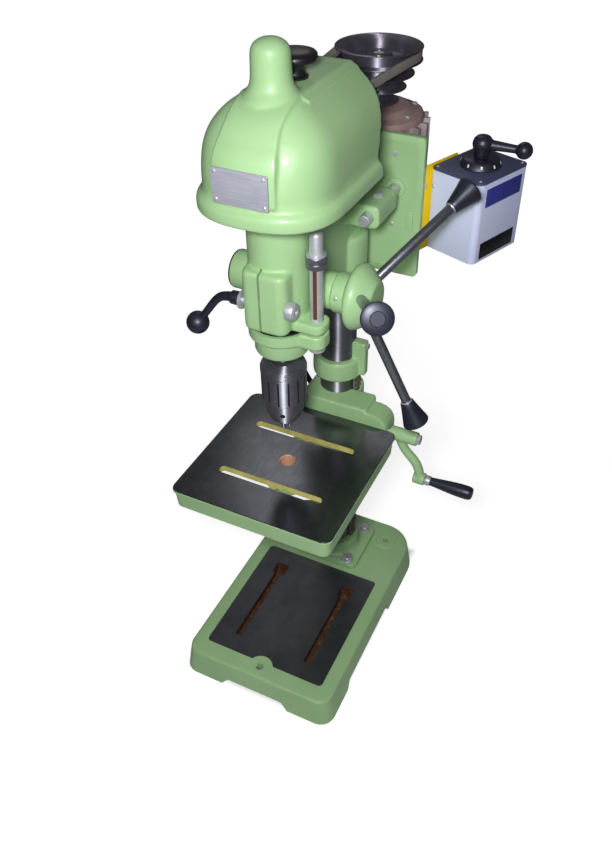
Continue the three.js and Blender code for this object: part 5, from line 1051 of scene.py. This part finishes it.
def sliceAt(z):
    # a smooth curve through the slices, by the slopes of their neighbours
    last = len(slices) - 1
    i = max(j for j in range(last) if slices[j][0] <= z)
    (z0, *p0), (z1, *p1) = slices[i], slices[i + 1]
    before, after = slices[max(i - 1, 0)], slices[min(i + 2, last)]
    t = (z - z0) / (z1 - z0)
    out = []
    for k in (0, 1):
        m0 = (p1[k] - before[k + 1]) / (z1 - before[0]) * (z1 - z0)
        m1 = (after[k + 1] - p0[k]) / (after[0] - z0) * (z1 - z0)
        out.append((2 * t ** 3 - 3 * t ** 2 + 1) * p0[k] + (t ** 3 - 2 * t ** 2 + t) * m0
                   + (3 * t ** 2 - 2 * t ** 3) * p1[k] + (t ** 3 - t ** 2) * m1)
    return out


def hoodRear(z):
    h = hoodPart
    share = max(0.0, (z - h["low"]) / (h["high"] - h["low"]))
    return h["rearLow"] + (h["rearHigh"] - h["rearLow"]) * share


def bandFront(z):
    past = max(0.0, z - hoodPart["bandStay"])
    return hoodPart["bandFront"] + 0.0002 * past ** 3


def makeHood():
    h = hoodPart
    tall, rise, wall, last = h["high"] - h["low"], h["bandRise"], h["wall"], h["rearHigh"]
    levels = [h["low"] + tall * (1 - (1 - i / 22) ** 1.7) for i in range(23)]
    rings = [(z, *sliceAt(min(z, h["high"] - 0.01))) for z in levels]
    outer = [hoodRing(half, front, hoodRear(z), z) for z, half, front in rings]
    outer += [hoodRing(21, -184, last, h["high"] + 1.3), hoodRing(10, -179, last, h["high"] + 2)]
    lip = [hoodRing(half, front, h["rearLow"], z) for z, half, front in lipRings]
    shell = skin(lip + outer[1:])
    # the raised band runs from the plate over the crown, and a flat step follows it behind the chimney
    bandFronts = [(z, half, min(front - rise, bandFront(z))) for z, half, front in rings]
    band = skin([hoodRing(half + rise, front, hoodRear(z), z + rise) for z, half, front in bandFronts])
    side = [(h["bandLow"], 820), (h["bandLow"], 886), (h["band"], 916), (h["band"], 1000)]
    outline = [(-h["bandLow"], 820)] + side + [(-x, z) for x, z in side[:0:-1]]
    narrow = plate([(x, 0, z) for x, z in outline], (0, -400, 0))
    band = carve(band, narrow, operation="INTERSECT")
    step = skin([hoodRing(half + rise / 2, front - rise / 2, hoodRear(z), z + rise / 2)
                 for z, half, front in rings])
    step = carve(step, brick(span(h["stepHalf"]), (hoodBend, 0), (880, 1000)), operation="INTERSECT")
    body = castOver(merged(shell, band, step, lathe(chimneyOutline, spindleAxis)), 1.6, 9)
    inner = [hoodRing(75, -250, -10, h["mouthHigh"])]
    for z in (840, 858, 870, 884, 895, 904, 912, 919, 924, h["cavityTop"]):
        half, front = sliceAt(z)
        inner.append(hoodRing(half - wall, front + wall, -10, z))
    mouth = skin([hoodRing(h["mouthHalf"], h["mouthFront"], -10.2, z) for z in (813, h["mouthHigh"] + 1)])
    body = carve(body, skin(inner), mouth, drum(15.5, 920, 976, spindleAxis),
                 brick(span(120), (-300, 60), (800, 815)))
    piece(body, "pulley_hood", "hood", "greenEnamel", ["hood"], 45)
    face = h["bandFront"] - 0.3
    front = face - h["plateThick"]
    sheet = uprightBrick(span(h["plateHalf"]), (front, face), (h["plateLow"], h["plateHigh"]), 2, 0.3)
    piece(sheet, "bare_plate", "hood", "plateSheet", ["blank_plate"])
    rivets = []
    for s in (-1, 1):
        for z in (h["plateLow"] + h["rivetIn"], h["plateHigh"] - h["rivetIn"]):
            place = Matrix.Translation((s * (h["plateHalf"] - h["rivetIn"]), front, z))
            rivet = lathe([(0, -1), (2.4, -1), (2.2, 0.6), (1.3, 1.2), (0, 1.4)], steps=24)
            rivets.append(moved(rivet, place @ Matrix.Rotation(math.pi / 2, 4, "X")))
    piece(merged(*rivets), "plate_rivets", "hood", "brightSteel")
    knob = lathe([(radius, h["knobZ"] + up) for radius, up in knobOutline], (0, h["knobY"], 0))
    piece(knob, "hood_knob", "cover_knob", "coverPhenolic", ["cover_knob"], 40)


# the switch box, in its own turned frame, with its dial and lever; both labels are bare
switch = {"x": 98.4, "y": 82.4, "turn": -21, "wide": 87, "deep": 106, "low": 655, "high": 774, "corner": 9,
          "lid": 3.2, "lip": 0.4, "dial": (43.5, 53), "markTurns": (-50, -10, 30, 90, 150, 210, 270),
          "markLean": -66, "leverEnd": (214, 120, 801), "leverBall": 11.5, "fixingHeights": (672, 748),
          "lidScrews": ((7, 7), (80, 7), (7, 99), (80, 99)), "strapLow": 650,
          "labels": (("label_blank", "labelBlue", "box_paint", (14, 92), (737, 763)),
                     ("label_dark", "labelBlack", "black_plastic", (14, 90), (660, 684)))}


def makeSwitch():
    s = switch
    z, lip, corner = s["high"], s["lip"], s["corner"]
    dialX, dialY = s["dial"]
    place = Matrix.Translation((s["x"], s["y"], 0)) @ Matrix.Rotation(math.radians(s["turn"]), 4, "Z")
    body = roundedBrick((0, s["wide"]), (0, s["deep"]), (s["low"], z - s["lid"]), corner, 0.8)
    piece(moved(body, place), "switch_housing", "motor_base", "boxPaint", ["switch_box"], 35)
    lid = roundedBrick((-lip, s["wide"] + lip), (-lip, s["deep"] + lip), (z - s["lid"], z), corner + lip, 0.8)
    piece(moved(lid, place), "switch_lid", "motor_base", "boxLid", sharp=35)
    ring = lathe([(5.5, z + 0.3), (28.4, z + 0.3), (29, z + 1.4), (28.4, z + 2.6), (25.4, z + 9.4),
                  (24, z + 10.3), (5.5, z + 10.3)], (dialX, dialY, 0))
    piece(moved(ring, place), "dial_ring", "motor_base", "blackPhenolic", ["switch_dial"],
          35)
    marks = []
    for turn in s["markTurns"]:
        # leans back about its own middle to lie on the ring's slope, then goes round the dial
        mark = brick(span(1.3), (24.2, 28.4), (0.1, 1.1))
        marks.append(moved(mark, Matrix.Translation((dialX, dialY, z + 5.2))
                           @ Matrix.Rotation(math.radians(turn - 90), 4, "Z")
                           @ Matrix.Translation((0, 26.3, 0))
                           @ Matrix.Rotation(math.radians(s["markLean"]), 4, "X")
                           @ Matrix.Translation((0, -26.3, 0))))
    piece(moved(merged(*marks), place), "dial_marks", "motor_base", "whiteMark")
    low = z + 10.6
    centre = place @ Vector((dialX, dialY, 0))
    cap = lathe([(0, z - 14), (5, z - 14), (5, low), (9.6, low), (10, low + 1), (12.8, low + 13),
                 (14, low + 17.6), (13.8, low + 21), (12.2, low + 25.4), (9, low + 28.8), (5, low + 29.9),
                 (0, low + 30)],
                (centre.x, centre.y, 0), steps=someSides)
    arm = sweep([(centre.x, centre.y, low + 18), (centre.x + 16, centre.y + 1.5, low + 18),
                 (195, 118.8, 801.6), s["leverEnd"]], [8, 7, 5.6, 5.4])
    lever = castOver(merged(cap, arm, ball(s["leverBall"], s["leverEnd"], someSides)), 0.9, 3)
    piece(lever, "switch_handle", "switch_lever", "blackPhenolic", ["switch_lever"], 45)
    # the bent strap between the motor's plate and the box
    strap = brick((72, 93), (68.3, 71.3), (s["strapLow"], 768), 0.5)
    leg = moved(brick((-3.3, -0.3), (-13.5, 60), (s["strapLow"], 776), 0.5), place)
    piece(merged(strap, leg), "switch_strap", "motor_base", "yellowPaint", ["switch_bracket"])
    fixings = []
    for height in s["fixingHeights"]:
        for out, at in (((1, 0, 0), (-0.3, -7, height)), ((0, -1, 0), (7, 0, height))):
            fixings.append(moved(screwHead((0, 0, 0), out, 2.6, 1.6), place @ Matrix.Translation(at)))
    piece(merged(*fixings), "switch_screws", "motor_base", "brightSteel")
    lidScrews = [moved(screwHead((*at, z), (0, 0, 1), 2.2, 1.2), place) for at in s["lidScrews"]]
    piece(merged(*lidScrews), "lid_screws", "motor_base", "brightSteel")
    for name, finish, slotName, ys, zs in s["labels"]:
        label = brick((s["wide"] - 0.4, s["wide"] + 0.5), ys, zs, 0.2)
        piece(moved(label, place), name, "motor_base", finish)


for stage in (makeBase, makeFoot, makeColumn, makeTableSupport, makeCrank, makeTable, makeTableClamp,
              makeHead, makeQuill, makeSpindle, makeDepthStop, makeQuillLock, makeFeed, makePulleys, makeBelt,
              makeMotor, makeMotorPlate, makeHood, makeSwitch):
    stage()
    print("made", stage.__name__)

# small inner pieces keep their CAD shape and only get a finish
kept = {"table_rack": "rackSteel", "lift_gear": "brightSteel", "crank_shaft": "brightSteel",
        "table_bolt": "brightSteel", "quill": "brightSteel", "lower_bearing": "brightSteel",
        "upper_bearing": "brightSteel", "pinion_shaft": "brightSteel", "return_spring": "brightSteel"}
for name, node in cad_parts.items():
    if name in kept:
        node.data.materials.clear()
        node.data.materials.append(materials[kept[name]])
print("finished", len(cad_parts), "nodes")


# white studio: a floor that glows white for the camera, a little less near the machine so that its soft
# shadow shows, and not at all under the base, a painted shadow that keeps the base's holes dark; distances in
# metres
studio = {"floorSize": 15, "floorGlow": 0.8, "farGlow": 1.0, "glowFrom": 0.4, "glowFull": 1.4, "paper": 0.6,
          "baseMiddle": -0.121, "baseHalf": (0.137, 0.21), "shadowSoft": 0.02,
          "skyLight": 0.05, "skyShine": 0.07, "skySeen": 1.0,
          # name, place in metres, watts, size in metres and the point it is aimed at
          "lamps": [("flash", (0.31, -0.92, 1.27), 12.4, 0.14, (0, 0, 0.5)),
                    ("side", (1.6, -1.5, 0.5), 0.8, 1.2, (0, 0, 0.5)),
                    ("back", (-0.63, 1.25, 2.03), 1.6, 0.7, (0, -0.1, 0.4))]}


def makeStage():
    s = studio
    bm = bmesh.new()
    bmesh.ops.create_grid(bm, x_segments=1, y_segments=1, size=s["floorSize"])
    mesh = take(bm)
    white = bpy.data.materials.new("paleFloor")
    white.use_nodes = True
    tree = white.node_tree
    tree.nodes.clear()
    seen = addNode(tree, "ShaderNodeLightPath").outputs["Is Camera Ray"]
    place = addNode(tree, "ShaderNodeTexCoord").outputs["Object"]
    far = addNode(tree, "ShaderNodeVectorMath", {0: place}, operation="LENGTH").outputs["Value"]
    level = addNode(tree, "ShaderNodeMapRange", {
        "Value": far, "From Min": s["glowFrom"], "From Max": s["glowFull"], "To Min": s["floorGlow"],
        "To Max": s["farGlow"]}).outputs[0]
    # no glow over the base's footprint, with soft edges: the painted shadow under the base
    axes = addNode(tree, "ShaderNodeSeparateXYZ", {0: place}).outputs
    middles = (columnMiddle.x, columnMiddle.y + s["baseMiddle"])
    outside = []
    for axis, middle, half in zip((0, 1), middles, s["baseHalf"]):
        off = addNode(tree, "ShaderNodeMath", {0: axes[axis], 1: middle}, operation="SUBTRACT").outputs[0]
        off = addNode(tree, "ShaderNodeMath", {0: off}, operation="ABSOLUTE").outputs[0]
        outside.append(addNode(tree, "ShaderNodeMapRange", {
            "Value": off, "From Min": half - s["shadowSoft"], "From Max": half}).outputs[0])
    clear = addNode(tree, "ShaderNodeMath", {0: outside[0], 1: outside[1]}, operation="MAXIMUM").outputs[0]
    level = addNode(tree, "ShaderNodeMath", {0: level, 1: clear}, operation="MULTIPLY").outputs[0]
    glow = addNode(tree, "ShaderNodeMath", {0: seen, 1: level}, operation="MULTIPLY").outputs[0]
    lit = addNode(tree, "ShaderNodeEmission", {"Color": (1, 1, 1, 1), "Strength": glow})
    paper = addNode(tree, "ShaderNodeBsdfDiffuse", {"Color": (s["paper"], s["paper"], s["paper"], 1)})
    both = addNode(tree, "ShaderNodeAddShader", {0: paper.outputs[0], 1: lit.outputs[0]})
    addNode(tree, "ShaderNodeOutputMaterial", {"Surface": both.outputs[0]})
    mesh.materials.append(white)
    floor = bpy.data.objects.new("floor", mesh)
    scene.collection.objects.link(floor)
    world = bpy.data.worlds.new("studio")
    scene.world = world
    world.use_nodes = True
    tree = world.node_tree
    tree.nodes.clear()
    path = addNode(tree, "ShaderNodeLightPath")
    seen = addNode(tree, "ShaderNodeMath", {
        0: path.outputs["Is Camera Ray"],
        1: path.outputs["Is Transmission Ray"]}, operation="MAXIMUM").outputs[0]
    soft = addNode(tree, "ShaderNodeMapRange", {
        "Value": path.outputs["Is Glossy Ray"], "To Min": s["skyLight"], "To Max": s["skyShine"]}).outputs[0]
    strength = addNode(tree, "ShaderNodeMapRange", {
        "Value": seen, "To Min": soft, "To Max": s["skySeen"]}).outputs[0]
    sky = addNode(tree, "ShaderNodeBackground", {"Color": (1, 1, 1, 1), "Strength": strength})
    addNode(tree, "ShaderNodeOutputWorld", {"Surface": sky.outputs[0]})
    for name, at, power, size, aim in s["lamps"]:
        data = bpy.data.lights.new(name, "AREA")
        data.energy = power
        data.size = size
        lamp = bpy.data.objects.new(name, data)
        lamp.location = at
        lamp.rotation_euler = (Vector(aim) - Vector(at)).to_track_quat("-Z", "Y").to_euler()
        scene.collection.objects.link(lamp)


# the photograph's viewing angle: degrees, lens and sensor in mm, and its place in mm from the column's foot
view = {"azimuth": 25.84, "elevation": 39.72, "roll": -0.56, "lens": 34.33, "sensor": 36, "shiftX": -0.01304,
        "shiftY": -0.0081, "at": (422.40, -950.74, 1218.40)}


def makeCamera():
    az, el, roll = (math.radians(view[key]) for key in ("azimuth", "elevation", "roll"))
    back = Vector((math.sin(az) * math.cos(el), -math.cos(az) * math.cos(el), math.sin(el)))
    right = Vector((math.cos(az), math.sin(az), 0))
    up = back.cross(right)
    x = right * math.cos(roll) + up * math.sin(roll)
    y = -right * math.sin(roll) + up * math.cos(roll)
    data = bpy.data.cameras.new("photoCamera")
    data.lens = view["lens"]
    data.sensor_width = view["sensor"]
    data.shift_x = view["shiftX"]
    data.shift_y = view["shiftY"]
    camera = bpy.data.objects.new("photoCamera", data)
    camera.rotation_euler = Matrix((x, y, back)).transposed().to_euler()
    camera.location = toFrame @ Vector(view["at"])
    scene.collection.objects.link(camera)
    scene.camera = camera


makeStage()
makeCamera()
scene.view_settings.view_transform = "Standard"
